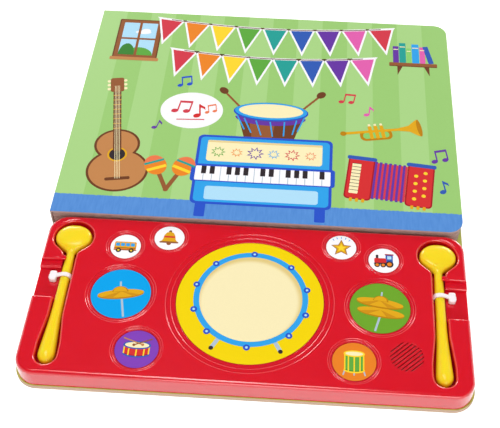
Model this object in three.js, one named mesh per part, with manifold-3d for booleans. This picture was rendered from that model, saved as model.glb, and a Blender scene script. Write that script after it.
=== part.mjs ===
// A board book with a drum-kit sound module: a hinged picture cover and a block of thick pages stand
// on a back board that runs on forwards under a red moulded module with nine pads and two mallets.
// Millimetres, +Z up. The origin is the middle of the underside of the back board, +X is to the
// reader's right and +Y points away from the reader, from the module to the book.
import * as THREE from 'three';
import { mergeVertices } from 'three/addons/utils/BufferGeometryUtils.js';
import Module from 'manifold-3d';

const wasm = await Module();
wasm.setup();

// Book
const BOOK_W = 270.2;          // cover, spine face to fore edge
const BOOK_D = 210;            // cover, front edge to back edge
const PAGES_T = 13.5;          // block of thick pages
const PAGE_COUNT = 6;
const PAGE_GROOVE = 0.3;       // depth and height of the groove between two pages
const COVER_T = 2;
const SPINE_T = 1;
const PAGE_CORNER_R = 10;      // rounded corners at the fore edge
const PAGE_INSET = 0.3;        // pages stand back from the cover's edges

// Back board
const BOARD_T = 3;
const BOARD_CORNER_R = 14;
const FORE_EDGE_LIP = 1.8;     // board showing beyond the cover at the fore edge
const FRONT_LIP = 0.8;         // board showing in front of the module
const SIDE_LIP = 1.1;          // board showing beside the module
const BACK_LIP = 0.4;

// Module shell
const SHELL_D = 120.4;
const SHELL_H = 12.75;
const SHELL_WALL = 2;
const SHELL_CORNER_R = 13;
const SHELL_RIM_R = 2.5;       // rounding of the top rim
const SHELL_DRAFT = 0.6;       // the side walls lean in by this much
const MODULE_GAP = 0.4;        // gap between module and book
const FIT = 0.3;               // clearance between a moving or nested piece and its neighbour
const SEAT = 0.1;              // clearance of a piece that rests on another
const BASE_T = 1.25;           // moulded base plate

// Pads: two shallow steps in the shell lead down to each pad
const STEP = 0.4;
const STEP_SLOPE = 0.4;
const PAD_TOP_BELOW = 0.75;    // top of a pad under the top of the shell
const PAD_TRAVEL = 1.2;
const CAP_T = 1.5;
const LABEL_T = 0.25;
const FLANGE_W = 1.5;
const FLANGE_T = 1.25;
const FLANGE_WALL = 1.2;
const MAIN_R = 45.5;
const MAIN_STEP = 3.1;
const CYMBAL_R = 18.75;
const CYMBAL_STEP = 1.5;
const DRUM_R = 13.2;
const DRUM_STEP = 1.2;
const BUTTON_R = 9.9;
const BUTTON_STEP = 1.2;
const CYMBAL_OUT = 0.55;       // outward from the middle between the large drum and the mallet slot
const CYMBAL_Y = 0.2;
const DRUM_IN = 30.9;          // inward from the loudspeaker
const DRUM_FROM_FRONT = 21.2;  // from the front of the shell
const OUTER_BUTTON_OUT = 2.8;  // outward from the cymbal pad
const OUTER_BUTTON_Y = 37;
const BUTTON_PITCH = 27.1;     // inner buttons, inward from the outer ones
const INNER_BUTTON_FROM_BACK = 14.4;

// Mallets and their slots
const MALLET_OUT = 0.3;        // mallet axis outward from the slot's axis
const HEAD_FROM_BACK = 16.7;   // widest point of the head, from the back of the shell
const TIP_FROM_FRONT = 9.7;    // free end of the handle, from the front of the shell
const MALLET_BELOW = 4.35;     // mallet axis under the top of the shell
const HEAD_HALF_W = 11.65;
const HEAD_HALF_T = 5.2;
const HEAD_NOSE = 9.6;         // from the widest point to the end of the head
const BULB_HALF_W = 5.2;
const BULB_HALF_T = 4.5;
const BULB_LENGTH = 6.5;
const STICK_HALF_W = 3.05;
const STICK_HALF_T = 2.7;
const NECK_HALF = 2.3;
const SLOT_FROM_SIDE = 18;     // slot's axis from the side of the shell
const SLOT_HALF_W = 4.1;
const SLOT_WALL = 1.2;
const HEAD_POCKET_R = 12.75;
const HEAD_POCKET_BACK = 0.8;  // centre of the pocket in front of the head's widest point
const END_POCKET_R = 6.45;
const END_POCKET_IN = 4.2;     // centre of the pocket behind the handle's free end
const SHOULDER_ANGLE = 30;     // degrees below level where the head pocket runs into the slot
const NECK_LENGTH = 12.7;      // from the head pocket's centre to the narrow slot
const FLARE_START = 28.3;      // the slot starts to widen here, from the end pocket's centre
const FLARE_END = 8.3;         // and is at its full width here
const RAISED_BEFORE_TIE = 14.5; // the slot's floor is raised under the slim stick behind this line

// Finger notches beside the mallets
const NOTCH_TO_NECK = 6;       // back of the notch in front of the neck of the slot
const NOTCH_LENGTH = 29;
const NOTCH_TREAD = 5;         // depth of the upper step, front to back
const NOTCH_DEPTH = 5.75;
const NOTCH_STEP_DEPTH = 2.9;
const NUB_W = 3;
const NUB_T = 1.3;
const NUB_SINK = 0.3;          // top of the nub under the top of the shell
const NUB_REACH = 2.4;

// Cable ties round the mallets
const TIE_IN_NOTCH = 11.5;     // tie in front of the back of the notch
const TIE_W = 3.2;
const TIE_T = 0.9;
const TIE_HEAD_W = 5.2;
const TIE_HEAD_D = 7;
const TIE_HEAD_H = 3.6;

// Loudspeaker and its grille
const SPEAKER_TO_SLOT = 21.9;
const SPEAKER_Y = -34;
const SPEAKER_R = 13;
const SPEAKER_RING_T = 1.2;
const SPEAKER_RING_H = 2.2;
const SPEAKER_DEPTH = 4;
const GRILLE_R = 10;
const GRILLE_SLOT = 0.85;
const GRILLE_PITCH = 2.15;
const GRILLE_COUNT = 9;
const GRILLE_ANGLE = 43;
const MAGNET_R = 6.3;
const MAGNET_T = 2.6;

// Electronics
const PCB_T = 1.2;
const PCB_RISE = 0.75;         // board stands on bosses of the base plate
const PCB_TO_SLOT = 24.9;      // edge of the board from the slot's axis
const PCB_FROM_BACK = 6.2;     // edges of the board from the outside of the shell
const PCB_FROM_FRONT = 14.2;
const PCB_CUT_SIDE = 17;       // corner cut away round the loudspeaker, from its centre
const PCB_CUT_BEHIND = 16;
const DOME_R = 5;
const DOME_LOW = 1.8;          // height of a dome pressed flat
const MAIN_DOME_R = 8;
const CHIP_R = 5;
const CHIP_T = 1.5;
const CHIP_FROM_EDGE = 18;     // centre of the chip from the back edge of the board
const WIRE_R = 0.5;

// Battery compartment
const CELL_R = 5.8;
const CELL_H = 5.4;
const CELL_PITCH = 12.2;
const CELL_COUNT = 3;
const BATTERY_Y = -28;
const BOX_WALL = 1.2;
const DOOR_T = 1.5;
const DOOR_RECESS = 0.4;
const DOOR_SCREW_POST = 10;    // block at the right end of the box that takes the door's screw
const CONTACT_T = 0.25;
const CONTACT_W = 6;

// Screws
const SCREW_HEAD_R = 2.5;
const SCREW_HEAD_T = 1.5;
const SCREW_SHAFT_R = 1.25;
const SCREW_L = 6;
const SCREW_HOLE = 0.15;       // radial clearance of the plain holes
const BACK_SCREW_IN = 12.9;    // inward from the slot's axis
const BACK_SCREW_Y = 24;
const FRONT_SCREW_IN = 24.1;   // inward from the small drum pad
const FRONT_SCREW_FROM_FRONT = 8.2;
const BOSS_R = 3;
const CUP_R = 4.5;
const CUP_H = 3;

// Levels and places worked out from the sizes above
const BOARD_W = BOOK_W + FORE_EDGE_LIP;
const BOARD_D = FRONT_LIP + SHELL_D + MODULE_GAP + BOOK_D + BACK_LIP;
const LEFT = -BOARD_W / 2;
const BOOK_RIGHT = LEFT + BOOK_W;
const BOOK_BACK = BOARD_D / 2 - BACK_LIP;
const BOOK_FRONT = BOOK_BACK - BOOK_D;
const COVER_Z = BOARD_T + PAGES_T;
const SHELL_W = BOARD_W - 2 * SIDE_LIP;
const SHELL_TOP = BOARD_T + SHELL_H;
const SHELL_UNDER = SHELL_TOP - SHELL_WALL;
const MODULE_Y = -BOARD_D / 2 + FRONT_LIP + SHELL_D / 2;
const SHELL_SIDE = SHELL_W / 2;
const SHELL_BACK = SHELL_D / 2;
const SLOT_X = SHELL_SIDE - SLOT_FROM_SIDE;
const MALLET_X = SLOT_X + MALLET_OUT;
const MALLET_HEAD_Y = SHELL_BACK - HEAD_FROM_BACK;
const MALLET_TIP_Y = TIP_FROM_FRONT - SHELL_BACK;
const HEAD_POCKET_Y = MALLET_HEAD_Y - HEAD_POCKET_BACK;
const END_POCKET_Y = MALLET_TIP_Y + END_POCKET_IN;
const NECK_Y = HEAD_POCKET_Y - NECK_LENGTH;
const FLARE_Y = END_POCKET_Y + FLARE_START;
const FLARE_END_Y = END_POCKET_Y + FLARE_END;
const NOTCH_BACK_Y = NECK_Y - NOTCH_TO_NECK;
const NOTCH_FRONT_Y = NOTCH_BACK_Y - NOTCH_LENGTH;
const TIE_Y = NOTCH_BACK_Y - TIE_IN_NOTCH;
const RAISED_FLOOR_Y = TIE_Y - RAISED_BEFORE_TIE;
const SPEAKER_X = SLOT_X - SPEAKER_TO_SLOT;
const CYMBAL_X = (MAIN_R + SLOT_X - SLOT_HALF_W) / 2 + CYMBAL_OUT;
const DRUM_X = SPEAKER_X - DRUM_IN;
const DRUM_Y = DRUM_FROM_FRONT - SHELL_BACK;
const OUTER_BUTTON_X = CYMBAL_X + OUTER_BUTTON_OUT;
const INNER_BUTTON_X = OUTER_BUTTON_X - BUTTON_PITCH;
const INNER_BUTTON_Y = SHELL_BACK - INNER_BUTTON_FROM_BACK;
const BASE_TOP = BOARD_T + BASE_T;
const PCB_Z = BASE_TOP + PCB_RISE;
const PCB_TOP = PCB_Z + PCB_T;
const PCB_HALF_W = SLOT_X - PCB_TO_SLOT;
const PCB_BACK_Y = SHELL_BACK - PCB_FROM_BACK;
const PCB_FRONT_Y = PCB_FROM_FRONT - SHELL_BACK;
const PCB_CUT_X = SPEAKER_X - PCB_CUT_SIDE;
const PCB_CUT_Y = SPEAKER_Y + PCB_CUT_BEHIND;
const CHIP_Y = PCB_BACK_Y - CHIP_FROM_EDGE;
const DOME_Z = PCB_TOP + SEAT;
const DOME_H = PAD_TRAVEL + DOME_LOW;
const STEM_Z = DOME_Z + DOME_H + SEAT;
const PAD_TOP = SHELL_TOP - PAD_TOP_BELOW;
const CAP_TOP = PAD_TOP - LABEL_T - SEAT;
const MALLET_Z = SHELL_TOP - MALLET_BELOW;
const HEAD_FLOOR = MALLET_Z - HEAD_HALF_T - FIT;
const STICK_FLOOR = MALLET_Z - STICK_HALF_T - FIT;
const END_FLOOR = MALLET_Z - BULB_HALF_T - FIT;
const NOTCH_FLOOR = SHELL_TOP - NOTCH_DEPTH;
const NOTCH_STEP_Z = SHELL_TOP - NOTCH_STEP_DEPTH;
const DOOR_TOP = DOOR_RECESS + DOOR_T;
const BOX_Z = DOOR_TOP + SEAT;
const CELL_Z = BOX_Z + CONTACT_T + SEAT;
const CELL_TOP = CELL_Z + CELL_H;
const BOX_CEILING = CELL_TOP + 2 * SEAT + CONTACT_T;
const BOX_TOP = BOX_CEILING + BOX_WALL;
const BOX_INNER_LEFT = -CELL_PITCH - CELL_R - 2 * FIT;
const BOX_INNER_RIGHT = CELL_PITCH + CELL_R + 2 * FIT;
const BOX_INNER_D = 2 * (CELL_R + 2 * FIT);
const BOX_LEFT = BOX_INNER_LEFT - BOX_WALL;
const BOX_RIGHT = BOX_INNER_RIGHT + DOOR_SCREW_POST;
const BOX_D = BOX_INNER_D + 2 * BOX_WALL;
const DOOR_SCREW_X = (BOX_INNER_RIGHT + BOX_RIGHT) / 2;
const BACK_SCREW_X = SLOT_X - BACK_SCREW_IN;
const FRONT_SCREW_X = DRUM_X - FRONT_SCREW_IN;
const FRONT_SCREW_Y = FRONT_SCREW_FROM_FRONT - SHELL_BACK;
const CASE_SCREWS = [
  [-BACK_SCREW_X, BACK_SCREW_Y], [BACK_SCREW_X, BACK_SCREW_Y],
  [-FRONT_SCREW_X, FRONT_SCREW_Y], [FRONT_SCREW_X, FRONT_SCREW_Y],
];
const MARGIN = 1;              // cutters run past the faces they cut

const PADS = [
  { name: 'main_drum', x: 0, y: 0, r: MAIN_R, step: MAIN_STEP, dome: MAIN_DOME_R, sides: 48, color: 0xf4d903 },
  { name: 'cymbal_left', x: -CYMBAL_X, y: CYMBAL_Y, r: CYMBAL_R, step: CYMBAL_STEP, color: 0x00a6ec },
  { name: 'cymbal_right', x: CYMBAL_X, y: CYMBAL_Y, r: CYMBAL_R, step: CYMBAL_STEP, color: 0x72a836 },
  { name: 'drum_left', x: -DRUM_X, y: DRUM_Y, r: DRUM_R, step: DRUM_STEP, color: 0x8546b4 },
  { name: 'drum_right', x: DRUM_X, y: DRUM_Y, r: DRUM_R, step: DRUM_STEP, color: 0xeb872b },
  { name: 'button_1', x: -OUTER_BUTTON_X, y: OUTER_BUTTON_Y, r: BUTTON_R, step: BUTTON_STEP, color: 0xffffff },
  { name: 'button_2', x: -INNER_BUTTON_X, y: INNER_BUTTON_Y, r: BUTTON_R, step: BUTTON_STEP, color: 0xffffff },
  { name: 'button_3', x: INNER_BUTTON_X, y: INNER_BUTTON_Y, r: BUTTON_R, step: BUTTON_STEP, color: 0xffffff },
  { name: 'button_4', x: OUTER_BUTTON_X, y: OUTER_BUTTON_Y, r: BUTTON_R, step: BUTTON_STEP, color: 0xffffff },
];

// Materials
function plastic(color, roughness = 0.25) {
  return new THREE.MeshStandardMaterial({ color, roughness, metalness: 0 });
}
function metal(color, roughness = 0.35) {
  return new THREE.MeshStandardMaterial({ color, roughness, metalness: 1 });
}
const RED = plastic(0xe22237);
const YELLOW = plastic(0xfbe537);
const TIE_WHITE = plastic(0xf2f0f4, 0.4);
const PAPER_GREEN = plastic(0xd4cf74, 0.7);
const COVER_GREEN = plastic(0xb4dca0, 0.5);
const PAGE_EDGE = plastic(0xb09a92, 0.9);
const BASE_GREY = plastic(0x3c3c40, 0.5);
const PCB_GREEN = plastic(0x2f7a46, 0.5);
const SILICONE = plastic(0xc8c8c4, 0.6);
const EPOXY = plastic(0x151515, 0.3);
const STEEL = metal(0xb8b8bc);
const MAGNET_STEEL = metal(0x8c8c90);
const SPEAKER_PAPER = plastic(0x2a2622, 0.9);

// Turns a closed three.js geometry into one whose vertices are shared and whose faces point out
function welded(geometry) {
  const source = geometry.clone();
  source.deleteAttribute('normal');
  source.deleteAttribute('uv');
  const merged = mergeVertices(source, 1e-4);
  const corners = merged.getAttribute('position');
  const index = [];
  let volume = 0;
  const [a, b, c] = [new THREE.Vector3(), new THREE.Vector3(), new THREE.Vector3()];
  for (let i = 0; i < merged.index.count; i += 3) {
    const [p, q, r] = [merged.index.getX(i), merged.index.getX(i + 1), merged.index.getX(i + 2)];
    if (p === q || q === r || r === p) continue;
    index.push(p, q, r);
    a.fromBufferAttribute(corners, p);
    b.fromBufferAttribute(corners, q);
    c.fromBufferAttribute(corners, r);
    volume += a.dot(b.cross(c));
  }
  if (volume < 0) index.reverse();
  merged.setIndex(index);
  return merged;
}

function solid(geometry) {
  const merged = welded(geometry);
  return new wasm.Manifold(new wasm.Mesh({
    numProp: 3,
    vertProperties: new Float32Array(merged.getAttribute('position').array),
    triVerts: new Uint32Array(merged.index.array),
  }));
}

function geometryOf(body) {
  const cut = body.getMesh();
  const geometry = new THREE.BufferGeometry();
  geometry.setAttribute('position', new THREE.BufferAttribute(new Float32Array(cut.vertProperties), 3));
  geometry.setIndex(new THREE.BufferAttribute(new Uint32Array(cut.triVerts), 1));
  return geometry;
}

// Outline of a rectangle whose corners have their own radii, in the order front left, front right,
// back right, back left
function outline(left, right, front, back, radii, segments, inset = 0) {
  const points = [];
  const corners = [[left, front, 1, 1], [right, front, -1, 1], [right, back, -1, -1], [left, back, 1, -1]];
  corners.forEach(([x, y, inX, inY], i) => {
    const r = Math.max(radii[i] - inset, 0);
    const cx = x + inX * (inset + r);
    const cy = y + inY * (inset + r);
    const steps = radii[i] > 0 ? segments : 0;
    for (let k = 0; k <= steps; k += 1) {
      const angle = Math.PI * (1 + i / 2 + (steps ? k / steps / 2 : 0.25));
      points.push(r > 0 ? [cx + r * Math.cos(angle), cy + r * Math.sin(angle)] : [cx, cy]);
    }
  });
  return points;
}

// A closed body from rings of equal count, one above the other
function loft(rings) {
  const count = rings[0].length;
  const vertices = [];
  const index = [];
  rings.forEach((ring) => ring.forEach((point) => vertices.push(...point)));
  for (let k = 0; k + 1 < rings.length; k += 1) {
    for (let i = 0; i < count; i += 1) {
      const j = (i + 1) % count;
      const [low, lowNext] = [k * count + i, k * count + j];
      index.push(low, lowNext, lowNext + count, low, lowNext + count, low + count);
    }
  }
  const last = (rings.length - 1) * count;
  for (let i = 1; i + 1 < count; i += 1) {
    index.push(0, i + 1, i);
    index.push(last, last + i, last + i + 1);
  }
  const geometry = new THREE.BufferGeometry();
  geometry.setAttribute('position', new THREE.Float32BufferAttribute(vertices, 3));
  geometry.setIndex(index);
  return geometry;
}

// A plate or block with rounded corners; levels are pairs of height and inset
function block(left, right, front, back, radii, levels, segments = 6) {
  return loft(levels.map(([z, inset]) => (
    outline(left, right, front, back, radii, segments, inset).map(([x, y]) => [x, y, z]))));
}

function box(left, right, front, back, low, high) {
  const geometry = new THREE.BoxGeometry(right - left, back - front, high - low);
  return geometry.translate((left + right) / 2, (front + back) / 2, (low + high) / 2);
}

// A body of revolution about the vertical through x, y; points are pairs of radius and height
function turned(points, x, y, sides) {
  const geometry = new THREE.LatheGeometry(points.map(([r, z]) => new THREE.Vector2(r, z)), sides);
  return geometry.rotateX(Math.PI / 2).translate(x, y, 0);
}

function drum(r, low, high, x, y, sides) {
  return turned([[0, low], [r, low], [r, high], [0, high]], x, y, sides);
}

// Small round things get few sides and large ones more
function sidesOf(r) {
  return Math.max(12, 4 * Math.round((10 + r) / 4));
}

// Slot of one mallet seen from above, grown by a margin on all sides
function slotShape(grow) {
  const shoulder = THREE.MathUtils.degToRad(SHOULDER_ANGLE);
  const half = SLOT_HALF_W + grow;
  const shape = new THREE.Shape();
  shape.absarc(0, HEAD_POCKET_Y, HEAD_POCKET_R + grow, -shoulder, Math.PI + shoulder, false);
  shape.lineTo(-half, NECK_Y);
  shape.lineTo(-half, FLARE_Y);
  shape.lineTo(-END_POCKET_R - grow, FLARE_END_Y);
  shape.absarc(0, END_POCKET_Y, END_POCKET_R + grow, Math.PI, 2 * Math.PI, false);
  shape.lineTo(END_POCKET_R + grow, FLARE_END_Y);
  shape.lineTo(half, FLARE_Y);
  shape.lineTo(half, NECK_Y);
  return shape;
}

// The part of the slot's outline between two places, from a floor up to a top
function slotPiece(side, grow, front, back, floor, top) {
  const prism = new THREE.ExtrudeGeometry(slotShape(grow), {
    depth: top - floor, bevelEnabled: false, curveSegments: 10,
  }).translate(side * SLOT_X, MODULE_Y, floor);
  const reach = HEAD_POCKET_R + 2 * SLOT_WALL;
  const range = box(side * SLOT_X - reach, side * SLOT_X + reach, MODULE_Y + front, MODULE_Y + back,
    floor, top);
  return solid(prism).intersect(solid(range));
}

const SLOT_BACK = HEAD_POCKET_Y + HEAD_POCKET_R + 2 * SLOT_WALL;
const SLOT_FRONT = END_POCKET_Y - END_POCKET_R - 2 * SLOT_WALL;

// The space of both slots, or with a wall added the material that carries it
function slotSpace(side, grow, sink, top) {
  const head = slotPiece(side, grow, NECK_Y - grow, SLOT_BACK, HEAD_FLOOR - sink, top);
  const middle = slotPiece(side, grow, RAISED_FLOOR_Y, NECK_Y, STICK_FLOOR - sink, top);
  const end = slotPiece(side, grow, SLOT_FRONT, RAISED_FLOOR_Y + grow, END_FLOOR - sink, top);
  return head.add(middle).add(end);
}

// The space of one finger notch, from the outer edge of the shell to the slot
function notchSpace(side, grow, sink, top) {
  const inner = side * (SLOT_X + SLOT_HALF_W - SLOT_WALL);
  const outer = side * (SHELL_W / 2 + MARGIN);
  const [left, right] = [Math.min(inner, outer), Math.max(inner, outer)];
  const stepFront = NOTCH_BACK_Y - NOTCH_TREAD;
  const floor = box(left, right, MODULE_Y + NOTCH_FRONT_Y - grow, MODULE_Y + stepFront + grow,
    NOTCH_FLOOR - sink, top);
  const step = box(left, right, MODULE_Y + NOTCH_FRONT_Y - grow, MODULE_Y + NOTCH_BACK_Y + grow,
    NOTCH_STEP_Z - sink, top);
  return solid(floor).add(solid(step));
}

function shellOuter(low) {
  const [front, back] = [MODULE_Y - SHELL_D / 2, MODULE_Y + SHELL_D / 2];
  const radii = Array(4).fill(SHELL_CORNER_R);
  const levels = [[low, 0]];
  for (let k = 0; k <= 3; k += 1) {
    const angle = (k / 3) * (Math.PI / 2);
    levels.push([SHELL_TOP - SHELL_RIM_R * (1 - Math.sin(angle)),
      SHELL_DRAFT + SHELL_RIM_R * (1 - Math.cos(angle))]);
  }
  return solid(block(-SHELL_W / 2, SHELL_W / 2, front, back, radii, levels, 8));
}

function tieHoles(side) {
  const outerX = side * (MALLET_X + TIE_OUT);
  const innerX = side * (MALLET_X - TIE_IN);
  const [low, high] = [BASE_TOP + MARGIN, SHELL_TOP];
  const halfT = TIE_T / 2 + FIT;
  const halfW = TIE_W / 2 + FIT;
  const y = MODULE_Y + TIE_Y;
  const outer = solid(box(outerX - halfT, outerX + halfT, y - halfW, y + halfW, low, high));
  return outer.add(solid(box(innerX - halfT, innerX + halfT, y - halfW, y + halfW, low, STICK_FLOOR + MARGIN)));
}

// Strap of the tie on both sides of the stick, measured from the mallet's axis
const TIE_IN = STICK_HALF_W + FIT + TIE_T / 2;
const TIE_OUT = 7;
const TIE_OVER = STICK_HALF_T + FIT + TIE_T / 2;

function grilleSlots() {
  const angle = THREE.MathUtils.degToRad(GRILLE_ANGLE);
  let slots = null;
  for (let k = 0; k < GRILLE_COUNT; k += 1) {
    const offset = (k - (GRILLE_COUNT - 1) / 2) * GRILLE_PITCH;
    const half = Math.sqrt(GRILLE_R ** 2 - offset ** 2);
    const bar = box(-half, half, offset - GRILLE_SLOT / 2, offset + GRILLE_SLOT / 2,
      SHELL_UNDER - MARGIN, SHELL_TOP + MARGIN);
    bar.rotateZ(angle).translate(SPEAKER_X, MODULE_Y + SPEAKER_Y, 0);
    slots = slots ? slots.add(solid(bar)) : solid(bar);
  }
  return slots;
}

// Steps and hole of one pad, cut down into the shell
function padCut(pad) {
  const inner = pad.r + pad.step;
  const outer = inner + pad.step;
  const points = [
    [0, SHELL_UNDER - MARGIN], [pad.r + FIT, SHELL_UNDER - MARGIN], [pad.r + FIT, SHELL_TOP - 2 * STEP],
    [inner - STEP_SLOPE, SHELL_TOP - 2 * STEP], [inner, SHELL_TOP - STEP],
    [outer - STEP_SLOPE, SHELL_TOP - STEP], [outer, SHELL_TOP],
    [outer, SHELL_TOP + MARGIN], [0, SHELL_TOP + MARGIN],
  ];
  return solid(turned(points, pad.x, MODULE_Y + pad.y, pad.sides ?? sidesOf(pad.r)));
}

function moduleShell() {
  const wall = SHELL_WALL;
  const [front, back] = [MODULE_Y - SHELL_D / 2 + wall, MODULE_Y + SHELL_D / 2 - wall];
  const radii = Array(4).fill(SHELL_CORNER_R - wall);
  const cavity = solid(block(-SHELL_W / 2 + wall, SHELL_W / 2 - wall, front, back, radii,
    [[BOARD_T - MARGIN, 0], [SHELL_UNDER, SHELL_DRAFT]], 8));
  const outer = shellOuter(BOARD_T);
  let shell = outer.subtract(cavity);
  for (const side of [-1, 1]) {
    const carried = slotSpace(side, SLOT_WALL, SLOT_WALL, SHELL_UNDER + MARGIN / 2);
    const ledge = notchSpace(side, SLOT_WALL, SLOT_WALL, SHELL_UNDER + MARGIN / 2);
    shell = shell.add(carried).add(ledge.intersect(outer));
  }
  for (const side of [-1, 1]) {
    shell = shell.subtract(slotSpace(side, 0, 0, SHELL_TOP + MARGIN));
    shell = shell.subtract(notchSpace(side, 0, 0, SHELL_TOP + MARGIN));
    const wallX = side * (SLOT_X + SLOT_HALF_W + SLOT_WALL / 2);
    const tipX = side * (SLOT_X + SLOT_HALF_W - NUB_REACH);
    const nubTop = SHELL_TOP - NUB_SINK;
    const nubFront = MODULE_Y + NOTCH_BACK_Y;
    shell = shell.add(solid(box(Math.min(wallX, tipX), Math.max(wallX, tipX), nubFront, nubFront + NUB_W,
      nubTop - NUB_T, nubTop)));
    shell = shell.subtract(tieHoles(side));
  }
  const ringTop = SHELL_UNDER + MARGIN / 2;
  const ringLow = SHELL_UNDER - SPEAKER_RING_H;
  const ringR = SPEAKER_R + FIT;
  const ring = turned([[ringR, ringLow], [ringR + SPEAKER_RING_T, ringLow], [ringR + SPEAKER_RING_T, ringTop],
    [ringR, ringTop], [ringR, ringLow]], SPEAKER_X, MODULE_Y + SPEAKER_Y, 24);
  shell = shell.add(solid(ring));
  for (const pad of PADS) shell = shell.subtract(padCut(pad));
  shell = shell.subtract(grilleSlots());
  for (const [x, y] of CASE_SCREWS) {
    const low = BOARD_T + CUP_H;
    shell = shell.add(solid(drum(BOSS_R, low, SHELL_UNDER + MARGIN / 2, x, MODULE_Y + y, 12)));
    shell = shell.subtract(solid(drum(SCREW_SHAFT_R + SCREW_HOLE, low - MARGIN, low + SCREW_L,
      x, MODULE_Y + y, 12)));
  }
  return geometryOf(shell);
}

// Base plate that closes the shell from below, with the battery box and the bosses moulded on
function moduleBase() {
  const inset = SHELL_WALL + FIT;
  const [front, back] = [MODULE_Y - SHELL_D / 2 + inset, MODULE_Y + SHELL_D / 2 - inset];
  const radii = Array(4).fill(SHELL_CORNER_R - inset);
  let base = solid(block(-SHELL_W / 2 + inset, SHELL_W / 2 - inset, front, back, radii,
    [[BOARD_T, 0], [BASE_TOP, 0]], 8));
  const y = MODULE_Y + BATTERY_Y;
  base = base.add(solid(box(BOX_LEFT, BOX_RIGHT, y - BOX_D / 2, y + BOX_D / 2, BOX_Z, BOX_TOP)));
  base = base.subtract(solid(box(BOX_INNER_LEFT, BOX_INNER_RIGHT, y - BOX_INNER_D / 2, y + BOX_INNER_D / 2,
    BOX_Z - MARGIN, BOX_CEILING)));
  base = base.subtract(solid(drum(SCREW_SHAFT_R + SCREW_HOLE, BOX_Z - MARGIN, BOX_Z + SCREW_L - MARGIN,
    DOOR_SCREW_X, y, 12)));
  for (const [x, screwY] of CASE_SCREWS) {
    const at = [x, MODULE_Y + screwY];
    base = base.add(solid(drum(CUP_R, BOARD_T, BOARD_T + CUP_H - SEAT, ...at, 12)));
    base = base.subtract(solid(drum(SCREW_HEAD_R + FIT, BOARD_T - MARGIN, SCREW_SEAT, ...at, 12)));
    base = base.subtract(solid(drum(SCREW_SHAFT_R + FIT, BOARD_T, BOARD_T + CUP_H + MARGIN, ...at, 12)));
  }
  for (const [x, bossY] of PCB_BOSSES) {
    base = base.add(solid(drum(BOSS_R, BOARD_T, PCB_Z - SEAT, x, MODULE_Y + bossY, 12)));
  }
  return geometryOf(base);
}

const SCREW_SEAT = BOARD_T + SEAT + SCREW_HEAD_T;
const BOSS_INSET = 6;
const PCB_BOSSES = [
  [-PCB_HALF_W + BOSS_INSET, PCB_BACK_Y - BOSS_INSET], [PCB_HALF_W - BOSS_INSET, PCB_BACK_Y - BOSS_INSET],
  [-PCB_HALF_W + BOSS_INSET, PCB_FRONT_Y + BOSS_INSET], [PCB_CUT_X - BOSS_INSET, PCB_FRONT_Y + BOSS_INSET],
  [PCB_HALF_W - BOSS_INSET, PCB_CUT_Y + BOSS_INSET], [0, PCB_BACK_Y - BOSS_INSET],
];

function circuitBoard() {
  const [low, high] = [PCB_Z, PCB_TOP];
  const [front, back] = [MODULE_Y + PCB_FRONT_Y, MODULE_Y + PCB_BACK_Y];
  const y = MODULE_Y + BATTERY_Y;
  const plate = solid(box(-PCB_HALF_W, PCB_HALF_W, front, back, low, high));
  const corner = solid(box(PCB_CUT_X, PCB_HALF_W + MARGIN, front - MARGIN, MODULE_Y + PCB_CUT_Y,
    low - MARGIN, high + MARGIN));
  const window = solid(box(BOX_LEFT - FIT, BOX_RIGHT + FIT, y - BOX_D / 2 - FIT, y + BOX_D / 2 + FIT,
    low - MARGIN, high + MARGIN));
  return geometryOf(plate.subtract(corner).subtract(window));
}

// Cap of one pad: an inverted cup held under the shell by its flange, with a stem over its dome
function padCap(pad) {
  const stem = pad.dome ? pad.dome / 2 : DOME_R / 2;
  const flangeTop = SHELL_UNDER - FIT;
  const points = [
    [0, STEM_Z], [stem, STEM_Z], [stem, CAP_TOP - CAP_T], [pad.r - FLANGE_WALL, CAP_TOP - CAP_T],
    [pad.r - FLANGE_WALL, flangeTop - FLANGE_T], [pad.r + FLANGE_W, flangeTop - FLANGE_T],
    [pad.r + FLANGE_W, flangeTop], [pad.r, flangeTop], [pad.r, CAP_TOP], [0, CAP_TOP],
  ];
  return welded(turned(points, pad.x, MODULE_Y + pad.y, pad.sides ?? sidesOf(pad.r)));
}

function padLabel(pad) {
  return welded(drum(pad.r, PAD_TOP - LABEL_T, PAD_TOP, pad.x, MODULE_Y + pad.y, pad.sides ?? sidesOf(pad.r)));
}

// Silicone dome that carries the pad's stem and presses the contact under it
function padDome(pad) {
  const r = pad.dome ?? DOME_R;
  const skin = 0.5;
  const points = [
    [0, DOME_Z + DOME_H], [r * 0.45, DOME_Z + DOME_H], [r * 0.75, DOME_Z + skin], [r, DOME_Z + skin],
    [r, DOME_Z], [r * 0.75 - skin, DOME_Z], [r * 0.45 - skin, DOME_Z + DOME_H - skin],
    [0, DOME_Z + DOME_H - skin],
  ];
  return welded(turned(points, pad.x, MODULE_Y + pad.y, 12));
}

// Screw with its head down, standing up from a seat
function screw(seat, x, y) {
  return welded(turned([
    [0, seat - SCREW_HEAD_T], [SCREW_HEAD_R, seat - SCREW_HEAD_T], [SCREW_HEAD_R, seat],
    [SCREW_SHAFT_R, seat], [SCREW_SHAFT_R, seat + SCREW_L - 1], [0, seat + SCREW_L],
  ], x, y, 12));
}

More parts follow.
